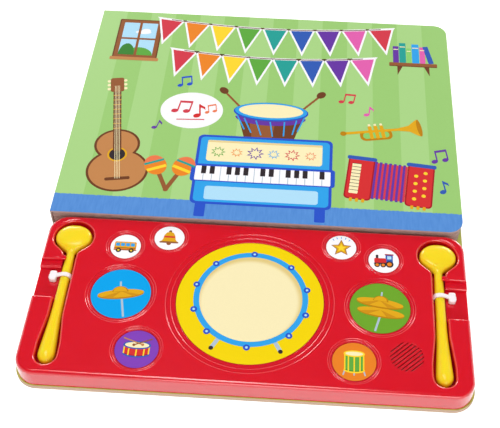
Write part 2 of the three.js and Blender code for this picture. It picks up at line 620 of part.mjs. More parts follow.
// Mallet: one moulding, a flattened head, a slim neck and a handle that thickens to its end
function mallet(side) {
  const bulbY = MALLET_TIP_Y + BULB_LENGTH;
  const steps = 4;
  const rings = [];
  for (let k = 1; k <= steps; k += 1) {
    const angle = (k / steps) * (Math.PI / 2);
    rings.push([bulbY - BULB_LENGTH * Math.cos(angle), BULB_HALF_W * Math.sin(angle),
      BULB_HALF_T * Math.sin(angle)]);
  }
  const slimY = RAISED_FLOOR_Y + 2;
  const widths = new THREE.SplineCurve([
    new THREE.Vector2(bulbY, BULB_HALF_W), new THREE.Vector2(bulbY + 8, BULB_HALF_W - 0.5),
    new THREE.Vector2(slimY - 20, STICK_HALF_W + 0.55), new THREE.Vector2(slimY, STICK_HALF_W),
    new THREE.Vector2(MALLET_HEAD_Y - 25.5, STICK_HALF_W), new THREE.Vector2(MALLET_HEAD_Y - 15, NECK_HALF),
    new THREE.Vector2(MALLET_HEAD_Y - 11.5, NECK_HALF + 1), new THREE.Vector2(MALLET_HEAD_Y - 8, HEAD_HALF_W - 4.2),
    new THREE.Vector2(MALLET_HEAD_Y - 4, HEAD_HALF_W - 1), new THREE.Vector2(MALLET_HEAD_Y, HEAD_HALF_W),
  ]);
  const thickness = new THREE.SplineCurve([
    new THREE.Vector2(bulbY, BULB_HALF_T), new THREE.Vector2(bulbY + 8, BULB_HALF_T - 0.4),
    new THREE.Vector2(slimY - 20, STICK_HALF_T + 0.5), new THREE.Vector2(slimY, STICK_HALF_T),
    new THREE.Vector2(MALLET_HEAD_Y - 25.5, STICK_HALF_T), new THREE.Vector2(MALLET_HEAD_Y - 15, NECK_HALF),
    new THREE.Vector2(MALLET_HEAD_Y - 11.5, NECK_HALF + 0.3), new THREE.Vector2(MALLET_HEAD_Y - 8, HEAD_HALF_T - 1.5),
    new THREE.Vector2(MALLET_HEAD_Y - 4, HEAD_HALF_T - 0.4), new THREE.Vector2(MALLET_HEAD_Y, HEAD_HALF_T),
  ]);
  const stations = 18;
  for (let k = 1; k <= stations; k += 1) {
    const w = widths.getPoint(k / stations);
    rings.push([w.x, w.y, thickness.getPoint(k / stations).y]);
  }
  for (let k = 1; k < steps; k += 1) {
    const angle = (k / steps) * (Math.PI / 2);
    rings.push([MALLET_HEAD_Y + HEAD_NOSE * Math.sin(angle), HEAD_HALF_W * Math.cos(angle),
      HEAD_HALF_T * Math.cos(angle)]);
  }
  const sides = 14;
  const tips = [MALLET_TIP_Y, MALLET_HEAD_Y + HEAD_NOSE];
  const all = [[tips[0], 0.4, 0.35], ...rings, [tips[1], 0.4, 0.35]];
  return welded(loft(all.map(([y, w, t]) => Array.from({ length: sides }, (_, i) => {
    const angle = (i / sides) * Math.PI * 2;
    return [side * MALLET_X + w * Math.cos(angle), MODULE_Y + y, MALLET_Z - t * Math.sin(angle)];
  }))));
}

// Cable tie: a strap loop round the stick and under the slot, with its head in the finger notch
function cableTie(side) {
  const y = MODULE_Y + TIE_Y;
  const [front, back] = [y - TIE_W / 2, y + TIE_W / 2];
  const half = TIE_T / 2;
  const inX = side * (MALLET_X - TIE_IN);
  const outX = side * (MALLET_X + TIE_OUT);
  const low = STICK_FLOOR - SLOT_WALL - FIT - half;
  const high = MALLET_Z + TIE_OVER;
  const strap = (x0, x1, z0, z1) => solid(box(Math.min(x0, x1) - half, Math.max(x0, x1) + half,
    front, back, z0 - half, z1 + half));
  const headLow = NOTCH_FLOOR + SEAT;
  const headX = outX + side * TIE_HEAD_W / 6;
  const head = solid(box(headX - TIE_HEAD_W / 2, headX + TIE_HEAD_W / 2, y - TIE_HEAD_D / 2,
    y + TIE_HEAD_D / 2, headLow, headLow + TIE_HEAD_H));
  const tie = strap(inX, inX, low, high).add(strap(inX, outX, low, low)).add(strap(outX, outX, low, high))
    .add(strap(inX, outX, high, high)).add(head);
  return geometryOf(tie);
}

function speakerFrame() {
  const top = SHELL_UNDER - FIT;
  const low = top - SPEAKER_DEPTH;
  const hole = 4;
  const skin = 0.6;
  return welded(turned([
    [hole, low], [MAGNET_R + 0.7, low], [SPEAKER_R - 1.5, top - skin], [SPEAKER_R, top - skin],
    [SPEAKER_R, top], [SPEAKER_R - 2, top], [MAGNET_R, low + skin], [hole, low + skin], [hole, low],
  ], SPEAKER_X, MODULE_Y + SPEAKER_Y, 20));
}

function speakerCone() {
  const top = SHELL_UNDER - FIT;
  const skin = 0.3;
  const middle = top - SPEAKER_DEPTH + 1.5;
  const rim = SPEAKER_R - 2.6;
  return welded(turned([
    [0, middle], [3.6, middle], [rim, top - skin], [rim, top], [3.6, middle + skin], [0, middle + skin],
  ], SPEAKER_X, MODULE_Y + SPEAKER_Y, 20));
}

function speakerMagnet() {
  const top = SHELL_UNDER - FIT - SPEAKER_DEPTH - SEAT;
  const pole = 1.2;
  return welded(turned([
    [0, top - MAGNET_T], [MAGNET_R, top - MAGNET_T], [MAGNET_R, top], [3.6, top],
    [3.6, top + pole], [0, top + pole],
  ], SPEAKER_X, MODULE_Y + SPEAKER_Y, 20));
}

// A thin insulated wire through a few points
function wire(points) {
  const route = new THREE.CatmullRomCurve3(points.map(([x, y, z]) => new THREE.Vector3(x, MODULE_Y + y, z)));
  const section = new THREE.Shape();
  section.absarc(0, 0, WIRE_R, 0, Math.PI * 2, false);
  return welded(new THREE.ExtrudeGeometry(section, {
    steps: 6, curveSegments: 4, bevelEnabled: false, extrudePath: route,
  }));
}

function backBoard() {
  const radii = [BOARD_CORNER_R, BOARD_CORNER_R, PAGE_CORNER_R, 0];
  const board = solid(block(LEFT, -LEFT, -BOARD_D / 2, BOARD_D / 2, radii, [[0, 0], [BOARD_T, 0]], 8));
  const y = MODULE_Y + BATTERY_Y;
  const window = box(BOX_LEFT - FIT, BOX_RIGHT + FIT, y - BOX_D / 2 - FIT, y + BOX_D / 2 + FIT,
    -MARGIN, BOARD_T + MARGIN);
  return geometryOf(board.subtract(solid(window)));
}

function batteryDoor() {
  const y = MODULE_Y + BATTERY_Y;
  const door = solid(box(BOX_LEFT, BOX_RIGHT, y - BOX_D / 2, y + BOX_D / 2, DOOR_RECESS, DOOR_TOP));
  const hole = solid(drum(SCREW_SHAFT_R + FIT, DOOR_RECESS - MARGIN, DOOR_TOP + MARGIN, DOOR_SCREW_X, y, 12));
  const seat = solid(drum(SCREW_HEAD_R + FIT, DOOR_RECESS - MARGIN, DOOR_SCREW_SEAT, DOOR_SCREW_X, y, 16));
  return geometryOf(door.subtract(hole).subtract(seat));
}

const DOOR_SCREW_SEAT = DOOR_TOP - 0.5;
const DOOR_SCREW_HEAD_T = 0.9;

function doorScrew() {
  const y = MODULE_Y + BATTERY_Y;
  const low = DOOR_SCREW_SEAT - DOOR_SCREW_HEAD_T;
  return welded(turned([
    [0, low], [SCREW_HEAD_R, low], [SCREW_HEAD_R, DOOR_SCREW_SEAT], [SCREW_SHAFT_R, DOOR_SCREW_SEAT],
    [SCREW_SHAFT_R, DOOR_SCREW_SEAT + SCREW_L - 2], [0, DOOR_SCREW_SEAT + SCREW_L - 1],
  ], DOOR_SCREW_X, y, 12));
}

// Block of thick pages, one solid with a groove between each pair of pages
function pageBlock() {
  const left = LEFT + SPINE_T + SEAT;
  const right = BOOK_RIGHT - PAGE_INSET;
  const [front, back] = [BOOK_FRONT + PAGE_INSET, BOOK_BACK - PAGE_INSET];
  const pitch = PAGES_T / PAGE_COUNT;
  const levels = [[BOARD_T, 0]];
  for (let k = 1; k < PAGE_COUNT; k += 1) {
    const z = BOARD_T + k * pitch;
    levels.push([z - PAGE_GROOVE / 2, 0], [z - PAGE_GROOVE / 2, PAGE_GROOVE]);
    levels.push([z + PAGE_GROOVE / 2, PAGE_GROOVE], [z + PAGE_GROOVE / 2, 0]);
  }
  levels.push([COVER_Z - SEAT, 0]);
  return welded(block(left, right, front, back, [0, PAGE_CORNER_R, PAGE_CORNER_R, 0], levels, 4));
}

function frontCover() {
  const radii = [0, PAGE_CORNER_R, PAGE_CORNER_R, 0];
  return welded(block(LEFT, BOOK_RIGHT, BOOK_FRONT, BOOK_BACK, radii, [[COVER_Z, 0], [COVER_Z + COVER_T, 0]], 8));
}

function spineWrap() {
  return box(LEFT, LEFT + SPINE_T, BOOK_FRONT, BOOK_BACK, BOARD_T, COVER_Z - SEAT);
}

function cellX(k) {
  return (k - (CELL_COUNT - 1) / 2) * CELL_PITCH;
}

function contact(first, last, low) {
  const y = MODULE_Y + BATTERY_Y;
  return box(cellX(first) - CONTACT_W / 2, cellX(last) + CONTACT_W / 2, y - CONTACT_W / 2, y + CONTACT_W / 2,
    low, low + CONTACT_T);
}

const model = new THREE.Group();
function add(name, geometry, material) {
  const mesh = new THREE.Mesh(geometry, material);
  mesh.name = name;
  model.add(mesh);
}

// Book
add('back_board', backBoard(), PAPER_GREEN);
add('page_block', pageBlock(), PAGE_EDGE);
add('spine_wrap', spineWrap(), COVER_GREEN);
add('front_cover', frontCover(), COVER_GREEN);

// Module
add('module_shell', moduleShell(), RED);
add('module_base', moduleBase(), BASE_GREY);
for (const pad of PADS) {
  add(`${pad.name}_pad`, padCap(pad), RED);
  add(`${pad.name}_label`, padLabel(pad), plastic(pad.color));
  add(`${pad.name}_dome`, padDome(pad), SILICONE);
}
add('circuit_board', circuitBoard(), PCB_GREEN);
add('sound_chip', welded(drum(CHIP_R, PCB_TOP + SEAT, PCB_TOP + SEAT + CHIP_T, 0, MODULE_Y + CHIP_Y, 16)), EPOXY);
add('speaker_frame', speakerFrame(), STEEL);
add('speaker_cone', speakerCone(), SPEAKER_PAPER);
add('speaker_magnet', speakerMagnet(), MAGNET_STEEL);
CASE_SCREWS.forEach(([x, y], i) => add(`case_screw_${i + 1}`, screw(SCREW_SEAT, x, MODULE_Y + y), STEEL));

// Battery compartment
add('battery_door', batteryDoor(), BASE_GREY);
add('battery_door_screw', doorScrew(), STEEL);
for (let k = 0; k < CELL_COUNT; k += 1) {
  const cell = drum(CELL_R, CELL_Z, CELL_TOP, cellX(k), MODULE_Y + BATTERY_Y, 20);
  add(`battery_cell_${k + 1}`, welded(cell), STEEL);
}
add('battery_contact_1', contact(0, 0, CELL_TOP + SEAT), STEEL);
add('battery_contact_2', contact(1, 2, CELL_TOP + SEAT), STEEL);
add('battery_contact_3', contact(0, 1, BOX_Z), STEEL);
add('battery_contact_4', contact(2, 2, BOX_Z), STEEL);

// Wires from the loudspeaker to the circuit board
const WIRE_REST = PCB_TOP + SEAT + WIRE_R;
for (const [name, shift, color] of [['speaker_wire_red', 0, 0xc02020], ['speaker_wire_black', 2.5, 0x202020]]) {
  const startX = SPEAKER_X - MAGNET_R - FIT - WIRE_R;
  add(name, wire([
    [startX, SPEAKER_Y - shift, WIRE_REST + 1.2], [startX - 3, SPEAKER_Y - shift, WIRE_REST + 1.2],
    [PCB_CUT_X - 2 - shift, SPEAKER_Y + 6, WIRE_REST + 0.6], [PCB_CUT_X - 3 - shift, SPEAKER_Y + 14, WIRE_REST],
  ]), plastic(color, 0.5));
}

// Mallets, tied into their slots
for (const [name, side] of [['left', -1], ['right', 1]]) {
  add(`mallet_${name}`, mallet(side), YELLOW);
  add(`cable_tie_${name}`, cableTie(side), TIE_WHITE);
}

export default model;
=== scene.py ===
import math

import bmesh
import bpy
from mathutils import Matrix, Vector


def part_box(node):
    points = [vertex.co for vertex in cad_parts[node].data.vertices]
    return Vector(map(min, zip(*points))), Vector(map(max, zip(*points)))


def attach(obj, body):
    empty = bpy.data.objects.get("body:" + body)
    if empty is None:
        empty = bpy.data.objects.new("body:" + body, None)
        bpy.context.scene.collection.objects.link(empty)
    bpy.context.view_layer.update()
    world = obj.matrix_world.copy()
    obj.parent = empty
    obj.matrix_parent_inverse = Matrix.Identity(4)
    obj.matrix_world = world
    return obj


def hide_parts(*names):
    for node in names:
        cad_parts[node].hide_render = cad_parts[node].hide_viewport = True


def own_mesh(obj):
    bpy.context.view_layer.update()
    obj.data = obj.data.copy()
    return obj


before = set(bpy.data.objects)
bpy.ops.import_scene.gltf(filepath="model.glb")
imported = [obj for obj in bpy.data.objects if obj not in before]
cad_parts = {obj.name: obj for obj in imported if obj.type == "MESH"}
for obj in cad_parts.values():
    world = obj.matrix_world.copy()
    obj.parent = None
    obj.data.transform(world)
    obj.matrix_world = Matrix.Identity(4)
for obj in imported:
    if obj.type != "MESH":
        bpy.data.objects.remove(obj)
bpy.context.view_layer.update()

# A children's board book with a drum-kit sound module. Lengths are in metres, and MM turns
# millimetres into metres.
MM = 0.001

# Back board
# Thick grey board wrapped in pale green paper, which runs on forwards under the module. It is die
# cut with round front corners and has a window for the battery box.
BOARD_LOW, BOARD_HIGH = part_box("back_board")
BOARD_T = BOARD_HIGH.z
BOARD_CORNER = 14 * MM
PAGE_CORNER = 10 * MM
PAPER_EDGE = 0.25 * MM
WINDOW_GAP = 0.3 * MM


def corner_outline(left, right, front, back, radii, steps, inset=0.0):
    """Outline of a rectangle, corners in the order front left, front right, back right, back left."""
    points = []
    corners = [(left, front, 1, 1), (right, front, -1, 1), (right, back, -1, -1), (left, back, 1, -1)]
    for i, (x, y, in_x, in_y) in enumerate(corners):
        r = max(radii[i] - inset, 0.0)
        cx = x + in_x * (inset + r)
        cy = y + in_y * (inset + r)
        count = steps if radii[i] > 0 else 0
        for k in range(count + 1):
            angle = math.pi * (1 + i / 2 + (k / count / 2 if count else 0.25))
            points.append((cx + r * math.cos(angle), cy + r * math.sin(angle)))
    return points


def new_object(name, vertices, faces):
    mesh = bpy.data.meshes.new(name)
    mesh.from_pydata([tuple(v) for v in vertices], [], faces)
    thing = bpy.data.objects.new(name, mesh)
    bpy.context.scene.collection.objects.link(thing)
    return thing


def turn_outwards(thing):
    """Merges doubled points and turns every face to the outside."""
    bm = bmesh.new()
    bm.from_mesh(thing.data)
    bmesh.ops.remove_doubles(bm, verts=bm.verts, dist=1e-7)
    bmesh.ops.recalc_face_normals(bm, faces=bm.faces)
    bm.to_mesh(thing.data)
    bm.free()


def loft(name, rings):
    """A closed body from rings of equal count, one after the other."""
    count = len(rings[0])
    faces = []
    for k in range(len(rings) - 1):
        for i in range(count):
            j = (i + 1) % count
            faces.append((k * count + i, k * count + j, (k + 1) * count + j, (k + 1) * count + i))
    faces.append(tuple(reversed(range(count))))
    faces.append(tuple(range((len(rings) - 1) * count, len(rings) * count)))
    thing = new_object(name, [point for ring in rings for point in ring], faces)
    turn_outwards(thing)
    return thing


def plate(name, left, right, front, back, radii, levels, steps=16):
    """A plate with round corners; levels are pairs of height and inset."""
    rings = []
    for z, inset in levels:
        outline = corner_outline(left, right, front, back, radii, steps, inset)
        rings.append([(x, y, z) for x, y in outline])
    return loft(name, rings)


def bevelled(low, high, edge):
    """Levels of a plate with a small bevel at its foot and its top."""
    return [(low, edge), (low + edge, 0), (high - edge, 0), (high, edge)]


def block(name, low, high):
    return plate(name, low[0], high[0], low[1], high[1], (0, 0, 0, 0), [(low[2], 0), (high[2], 0)])


def settle(thing):
    """Replaces the mesh by what its modifiers make of it."""
    graph = bpy.context.evaluated_depsgraph_get()
    made = bpy.data.meshes.new_from_object(thing.evaluated_get(graph))
    thing.modifiers.clear()
    thing.data = made


def combine(thing, tool, operation):
    """Cuts the tool from the thing or joins it on, and throws the tool away."""
    modifier = thing.modifiers.new("combine", "BOOLEAN")
    modifier.operation = operation
    modifier.solver = "MANIFOLD"
    modifier.object = tool
    settle(thing)
    bpy.data.objects.remove(tool)


def smooth(thing, angle=30, weighted=True):
    """Smooth shading with sharp edges above the angle, and flat faces kept flat."""
    bm = bmesh.new()
    bm.from_mesh(thing.data)
    for face in bm.faces:
        face.smooth = True
    for edge in bm.edges:
        edge.smooth = len(edge.link_faces) == 2 and edge.calc_face_angle(0) < math.radians(angle)
    bm.to_mesh(thing.data)
    bm.free()
    if weighted:
        modifier = thing.modifiers.new("weighted", "WEIGHTED_NORMAL")
        modifier.keep_sharp = True
        settle(thing)


def srgb(red, green, blue):
    channels = []
    for value in (red, green, blue):
        c = value / 255
        channels.append(c / 12.92 if c <= 0.04045 else ((c + 0.055) / 1.055) ** 2.4)
    return tuple(channels) + (1.0,)


def feed(node, feeds):
    """Sets inputs of a node, or links them. A node stands for its first output."""
    for key, value in feeds.items():
        if isinstance(value, bpy.types.Node):
            value = value.outputs[0]
        if isinstance(value, bpy.types.NodeSocket):
            node.id_data.links.new(value, node.inputs[key])
        else:
            node.inputs[key].default_value = value


def add_node(tree, kind, feeds=None, **settings):
    """A new node with these settings and inputs."""
    node = tree.nodes.new(kind)
    for key, value in settings.items():
        setattr(node, key, value)
    feed(node, feeds or {})
    return node


def own_place(tree):
    """Where a point lies in the frame of its own piece."""
    return add_node(tree, "ShaderNodeTexCoord").outputs["Object"]


def shader_of(made):
    return made.node_tree.nodes["Principled BSDF"]


def surface(name, color, roughness, spread=0.04, grain=900, bump=0.0, bump_scale=2500, stretch=(1, 1, 1),
            coat=0.0, rough_spread=0.06, specular=0.5):
    """A finish whose colour, gloss and height vary a little, in the grain of the real surface."""
    made = bpy.data.materials.new(name)
    made.use_nodes = True
    tree = made.node_tree
    shader = shader_of(made)
    mapping = add_node(tree, "ShaderNodeMapping", {"Scale": stretch, "Vector": own_place(tree)})
    mottle = add_node(tree, "ShaderNodeTexNoise", {"Scale": grain, "Detail": 3, "Vector": mapping})
    shade = add_node(tree, "ShaderNodeMix", data_type="RGBA")
    feed(shade, {
        6: tuple(c * (1 - spread) for c in color[:3]) + (1,),
        7: tuple(min(c * (1 + spread), 1) for c in color[:3]) + (1,), 0: mottle.outputs["Fac"],
    })
    tree.links.new(shade.outputs[2], shader.inputs["Base Color"])
    gloss = add_node(tree, "ShaderNodeMapRange", {
        "To Min": max(roughness - rough_spread, 0.02), "To Max": min(roughness + rough_spread, 1.0),
        "Value": mottle.outputs["Fac"],
    })
    feed(shader, {"Roughness": gloss, "Coat Weight": coat, "Specular IOR Level": specular})
    if bump:
        fine = add_node(tree, "ShaderNodeTexNoise", {
            "Scale": bump_scale, "Detail": 2, "Vector": mapping,
        })
        height = add_node(tree, "ShaderNodeBump", {
            "Strength": bump, "Distance": 0.05 * MM, "Height": fine.outputs["Fac"],
        })
        tree.links.new(height.outputs[0], shader.inputs["Normal"])
    return made


def paint(thing, *rules):
    """Gives each face the first material whose test holds for its centre and normal."""
    thing.data.materials.clear()
    for made, _ in rules:
        thing.data.materials.append(made)
    for polygon in thing.data.polygons:
        for index, (_, test) in enumerate(rules):
            if test(polygon.center, polygon.normal):
                polygon.material_index = index
                break


def always(centre, normal):
    return True


def faces_up(centre, normal):
    return normal.z > 0.8


def faces_down(centre, normal):
    return normal.z < -0.8


board_paper = surface("board_paper", srgb(196, 206, 88), 0.5, spread=0.04, bump=0.1)
board_back = surface("board_back_paper", srgb(170, 212, 140), 0.4, spread=0.03, bump=0.1)
board_core = surface("board_core", srgb(214, 186, 160), 0.85, spread=0.16, grain=500,
                     stretch=(1, 1, 9), bump=0.5)
board = plate("back_board_wrapped", BOARD_LOW.x, BOARD_HIGH.x, BOARD_LOW.y, BOARD_HIGH.y,
              (BOARD_CORNER, BOARD_CORNER, PAGE_CORNER, 0), bevelled(0, BOARD_T, PAPER_EDGE))
DOOR_LOW, DOOR_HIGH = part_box("battery_door")
combine(board, block("window", (DOOR_LOW.x - WINDOW_GAP, DOOR_LOW.y - WINDOW_GAP, -MM),
                     (DOOR_HIGH.x + WINDOW_GAP, DOOR_HIGH.y + WINDOW_GAP, BOARD_T + MM)), "DIFFERENCE")
smooth(board)
paint(board, (board_paper, faces_up), (board_back, faces_down), (board_core, always))
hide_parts("back_board")
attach(board, "root")

# Page block
# Six thick pages of laminated board, glued to each other at the spine. Their cut edges show the
# brown-grey core between the printed sheets, and no two pages are trimmed quite alike.
BLOCK_LOW, BLOCK_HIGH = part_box("page_block")
PAGE_COUNT = 6
PAGE_PITCH = (BLOCK_HIGH.z - BLOCK_LOW.z) / PAGE_COUNT
PAGE_TRIM = 0.14 * MM
PAGE_SEED = 7
SHEET_T = 0.15 * MM
PRESS_GAP = 0.004 * MM
DOT_SHARE = 0.2


def size_tree(name, sizes):
    """A geometry node tree whose named inputs are the sizes, with its input and output nodes."""
    tree = bpy.data.node_groups.new(name, "GeometryNodeTree")
    tree.interface.new_socket("Geometry", in_out="INPUT", socket_type="NodeSocketGeometry")
    for label, kind in sizes.items():
        tree.interface.new_socket(label, in_out="INPUT", socket_type="NodeSocket" + kind)
    tree.interface.new_socket("Geometry", in_out="OUTPUT", socket_type="NodeSocketGeometry")
    return tree, tree.nodes.new("NodeGroupInput"), tree.nodes.new("NodeGroupOutput")


def end_tree(tree, socket, given, result):
    """Makes the copies real and gives them their material."""
    real = add_node(tree, "GeometryNodeRealizeInstances", {0: socket})
    finish = add_node(tree, "GeometryNodeSetMaterial", {
        "Geometry": real, "Material": given.outputs["Finish"],
    })
    tree.links.new(finish.outputs[0], result.inputs[0])


def run_tree(thing, tree, values):
    """Runs a tree on a piece with these sizes and keeps the mesh it makes."""
    modifier = thing.modifiers.new(tree.name, "NODES")
    modifier.node_group = tree
    for item in tree.interface.items_tree:
        if item.item_type == "SOCKET" and item.name in values:
            modifier[item.identifier] = values[item.name]
    settle(thing)


stack, given, result = size_tree("page_stack", {"Count": "Int", "Pitch": "Float", "Trim": "Float",
                                                "Seed": "Int", "Finish": "Material"})
rise = add_node(stack, "ShaderNodeCombineXYZ", {"Z": given.outputs["Pitch"]})
levels = add_node(stack, "GeometryNodeMeshLine", {"Count": given.outputs["Count"], "Offset": rise})
most = add_node(stack, "ShaderNodeCombineXYZ", {"X": given.outputs["Trim"], "Y": given.outputs["Trim"]})
least = add_node(stack, "ShaderNodeVectorMath", {"Scale": -1, 0: most}, operation="SCALE")
shift = add_node(stack, "FunctionNodeRandomValue", {
    "Min": least, "Max": most, "Seed": given.outputs["Seed"],
}, data_type="FLOAT_VECTOR")
jog = add_node(stack, "GeometryNodeSetPosition", {"Geometry": levels, "Offset": shift.outputs["Value"]})
copies = add_node(stack, "GeometryNodeInstanceOnPoints", {
    "Points": jog, "Instance": given.outputs["Geometry"],
})
end_tree(stack, copies.outputs[0], given, result)

page_core = bpy.data.materials.new("page_core")
page_core.use_nodes = True
tree = page_core.node_tree
tones = add_node(tree, "ShaderNodeValToRGB")
tones.color_ramp.elements[0].position = 0.3
tones.color_ramp.elements[0].color = srgb(142, 104, 96)
tones.color_ramp.elements[1].position = 0.72
tones.color_ramp.elements[1].color = srgb(212, 190, 178)
along = add_node(tree, "ShaderNodeMapping", {"Scale": (1, 1, 14), "Vector": own_place(tree)})
fibre = add_node(tree, "ShaderNodeTexNoise", {
    "Scale": 160, "Detail": 5, "Roughness": 0.7, "Vector": along,
})
feed(tones, {"Fac": fibre.outputs["Fac"]})
fuzz = add_node(tree, "ShaderNodeBump", {
    "Strength": 0.5, "Distance": 0.1 * MM, "Height": fibre.outputs["Fac"],
})
feed(shader_of(page_core), {"Roughness": 0.85, "Base Color": tones, "Normal": fuzz})


def calculate(tree, operation, first, second=0.0):
    """A math node on two sockets or numbers."""
    return add_node(tree, "ShaderNodeMath", {0: first, 1: second}, operation=operation).outputs[0]


def mix_colors(tree, factor, first, second):
    """A colour mix of two sockets or colours."""
    return add_node(tree, "ShaderNodeMix", {0: factor, 6: first, 7: second}, data_type="RGBA").outputs[2]


def own_axes(tree):
    return add_node(tree, "ShaderNodeSeparateXYZ", {0: own_place(tree)}).outputs


def flat_distance(tree, x, y):
    """How far a point lies from the vertical through x, y."""
    axes = own_axes(tree)
    across = calculate(tree, "SUBTRACT", axes["X"], x)
    along = calculate(tree, "SUBTRACT", axes["Y"], y)
    squares = [calculate(tree, "MULTIPLY", side, side) for side in (across, along)]
    return calculate(tree, "SQRT", calculate(tree, "ADD", *squares))


def plain_color(made):
    """The socket that colours a surface before anything is mixed into it."""
    return shader_of(made).inputs["Base Color"].links[0].from_socket


def dotted(name, ground, dot, pitch):
    """A printed sheet with round dots in rows."""
    made = surface(name, ground, 0.4, spread=0.02, grain=700)
    tree = made.node_tree
    axes = own_axes(tree)
    squares = []
    for axis in ("X", "Y"):
        part = calculate(tree, "FRACT", calculate(tree, "DIVIDE", axes[axis], pitch))
        middle = calculate(tree, "SUBTRACT", part, 0.5)
        squares.append(calculate(tree, "MULTIPLY", middle, middle))
    inside = calculate(tree, "LESS_THAN", calculate(tree, "ADD", *squares), DOT_SHARE ** 2)
    feed(shader_of(made), {"Base Color": mix_colors(tree, inside, plain_color(made), dot)})
    return made


page_print = dotted("page_print", srgb(250, 240, 206), srgb(244, 196, 120), 22 * MM)
pages = plate("pages", BLOCK_LOW.x + PAGE_TRIM, BLOCK_HIGH.x - PAGE_TRIM, BLOCK_LOW.y + PAGE_TRIM,
              BLOCK_HIGH.y - PAGE_TRIM, (0, PAGE_CORNER, PAGE_CORNER, 0),
              [(BLOCK_LOW.z + PRESS_GAP, SHEET_T), (BLOCK_LOW.z + SHEET_T, 0),
               (BLOCK_LOW.z + PAGE_PITCH - SHEET_T, 0), (BLOCK_LOW.z + PAGE_PITCH - PRESS_GAP, SHEET_T)])
run_tree(pages, stack, {"Count": PAGE_COUNT, "Pitch": PAGE_PITCH, "Trim": PAGE_TRIM, "Seed": PAGE_SEED,
                        "Finish": page_core})
smooth(pages, 25)
paint(pages, (page_print, lambda c, n: n.z > 0.8 and c.z > BLOCK_HIGH.z - 0.05 * MM), (page_core, always))
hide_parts("page_block")
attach(pages, "root")

# Spine
# The strip of board that closes the left side, wrapped in the same printed paper as the cover.
# It is glued to the pages and to the back board.
SPINE_LOW, SPINE_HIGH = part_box("spine_wrap")
SPINE_EDGE = 0.3 * MM
spine_print = surface("spine_print", srgb(155, 204, 113), 0.4, spread=0.04, grain=500, bump=0.1)
spine = plate("spine_board", SPINE_LOW.x, SPINE_HIGH.x, SPINE_LOW.y, SPINE_HIGH.y, (0, 0, 0, 0),
              bevelled(SPINE_LOW.z, SPINE_HIGH.z, SPINE_EDGE))
smooth(spine)
paint(spine, (spine_print, lambda c, n: n.x < -0.5), (page_core, always))
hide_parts("spine_wrap")
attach(spine, "root")

# Cover
# Thick laminated board printed with a striped green wall over a blue floor, with round corners at
# the fore edge. It turns on a crease along the spine.
COVER_LOW, COVER_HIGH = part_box("front_cover")
STRIPE = 19.3 * MM
FLOOR_BAND = 15.6 * MM
FLOOR_RAG = 1.2 * MM
BEVEL = 0.25 * MM
PRINT_T = 0.16 * MM
COVER_TOP = COVER_HIGH.z - PRINT_T

cover_print = surface("cover_print", srgb(156, 204, 116), 0.3, spread=0.02, grain=900, bump=0.05,
                      specular=0.3)
tree = cover_print.node_tree
axes = own_axes(tree)
from_spine = calculate(tree, "SUBTRACT", axes["X"], COVER_LOW.x)
stripes_across = calculate(tree, "DIVIDE", from_spine, 2 * STRIPE)
in_stripe = calculate(tree, "LESS_THAN", calculate(tree, "FRACT", stripes_across), 0.5)
striped = mix_colors(tree, in_stripe, plain_color(cover_print), srgb(170, 213, 134))
ragged = add_node(tree, "ShaderNodeTexNoise", {"Scale": 420, "W": axes["X"]}, noise_dimensions="1D")
rag = calculate(tree, "MULTIPLY", ragged.outputs["Fac"], FLOOR_RAG)
floor_edge = calculate(tree, "ADD", rag, COVER_LOW.y + FLOOR_BAND - FLOOR_RAG / 2)
is_floor = calculate(tree, "LESS_THAN", axes["Y"], floor_edge)
pile_across = add_node(tree, "ShaderNodeMapping", {"Scale": (1, 0.15, 1), "Vector": own_place(tree)})
pile = add_node(tree, "ShaderNodeTexNoise", {"Scale": 700, "Vector": pile_across})
carpet = mix_colors(tree, pile.outputs["Fac"], srgb(70, 130, 206), srgb(98, 154, 222))
feed(shader_of(cover_print), {"Base Color": mix_colors(tree, is_floor, striped, carpet)})

cover_edge = surface("cover_edge", srgb(190, 166, 158), 0.8, spread=0.2, grain=400,
                     stretch=(1, 1, 10), bump=0.4)
inside_print = dotted("inside_print", srgb(176, 220, 244), srgb(214, 238, 250), 18 * MM)
cover = plate("cover_board", COVER_LOW.x, COVER_HIGH.x, COVER_LOW.y, COVER_HIGH.y,
              (0, PAGE_CORNER, PAGE_CORNER, 0), bevelled(COVER_LOW.z, COVER_TOP, BEVEL))
smooth(cover)
paint(cover, (cover_print, lambda c, n: n.z > 0.3), (inside_print, faces_down), (cover_edge, always))
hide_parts("front_cover")
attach(cover, "cover")

# Cover picture
# A generic music room in flat inks: a guitar, a toy piano, a hand drum, an accordion, a trumpet, two
# maracas, notes, a window and a shelf of books. Each field of ink lies on the one below it.
LAYER = 0.0175 * MM
INK_COLORS = {
    "sky": (49, 162, 232), "deep_blue": (44, 84, 200), "pale_blue": (176, 222, 246),
    "cream": (249, 237, 187), "tan": (232, 210, 150), "gold": (226, 168, 26), "gold_dark": (190, 130, 14),
    "grey": (176, 194, 208), "dark": (52, 44, 48), "red": (214, 48, 50), "red_dark": (168, 28, 40),
    "yellow": (250, 214, 50), "orange": (236, 134, 40), "green": (96, 170, 66),
    "green_dark": (60, 132, 52), "purple": (104, 56, 162), "pink": (226, 98, 174),
    "brown": (112, 64, 38), "brown_mid": (150, 90, 52), "brown_light": (196, 134, 80),
    "white": (250, 248, 252), "blue": (52, 92, 180), "leaf": (140, 206, 110), "coral": (236, 122, 78),
    "rose": (212, 60, 76), "teal": (40, 160, 150), "gold_shade": (206, 144, 22),
}


def ink(name, color, roughness=0.32):
    """Printing ink under a thin clear film, with the faint mottle of print."""
    return surface(name, srgb(*color), roughness, spread=0.03, grain=1500, rough_spread=0.04, specular=0.12)


inks = {name: ink("ink_" + name, color) for name, color in INK_COLORS.items()}


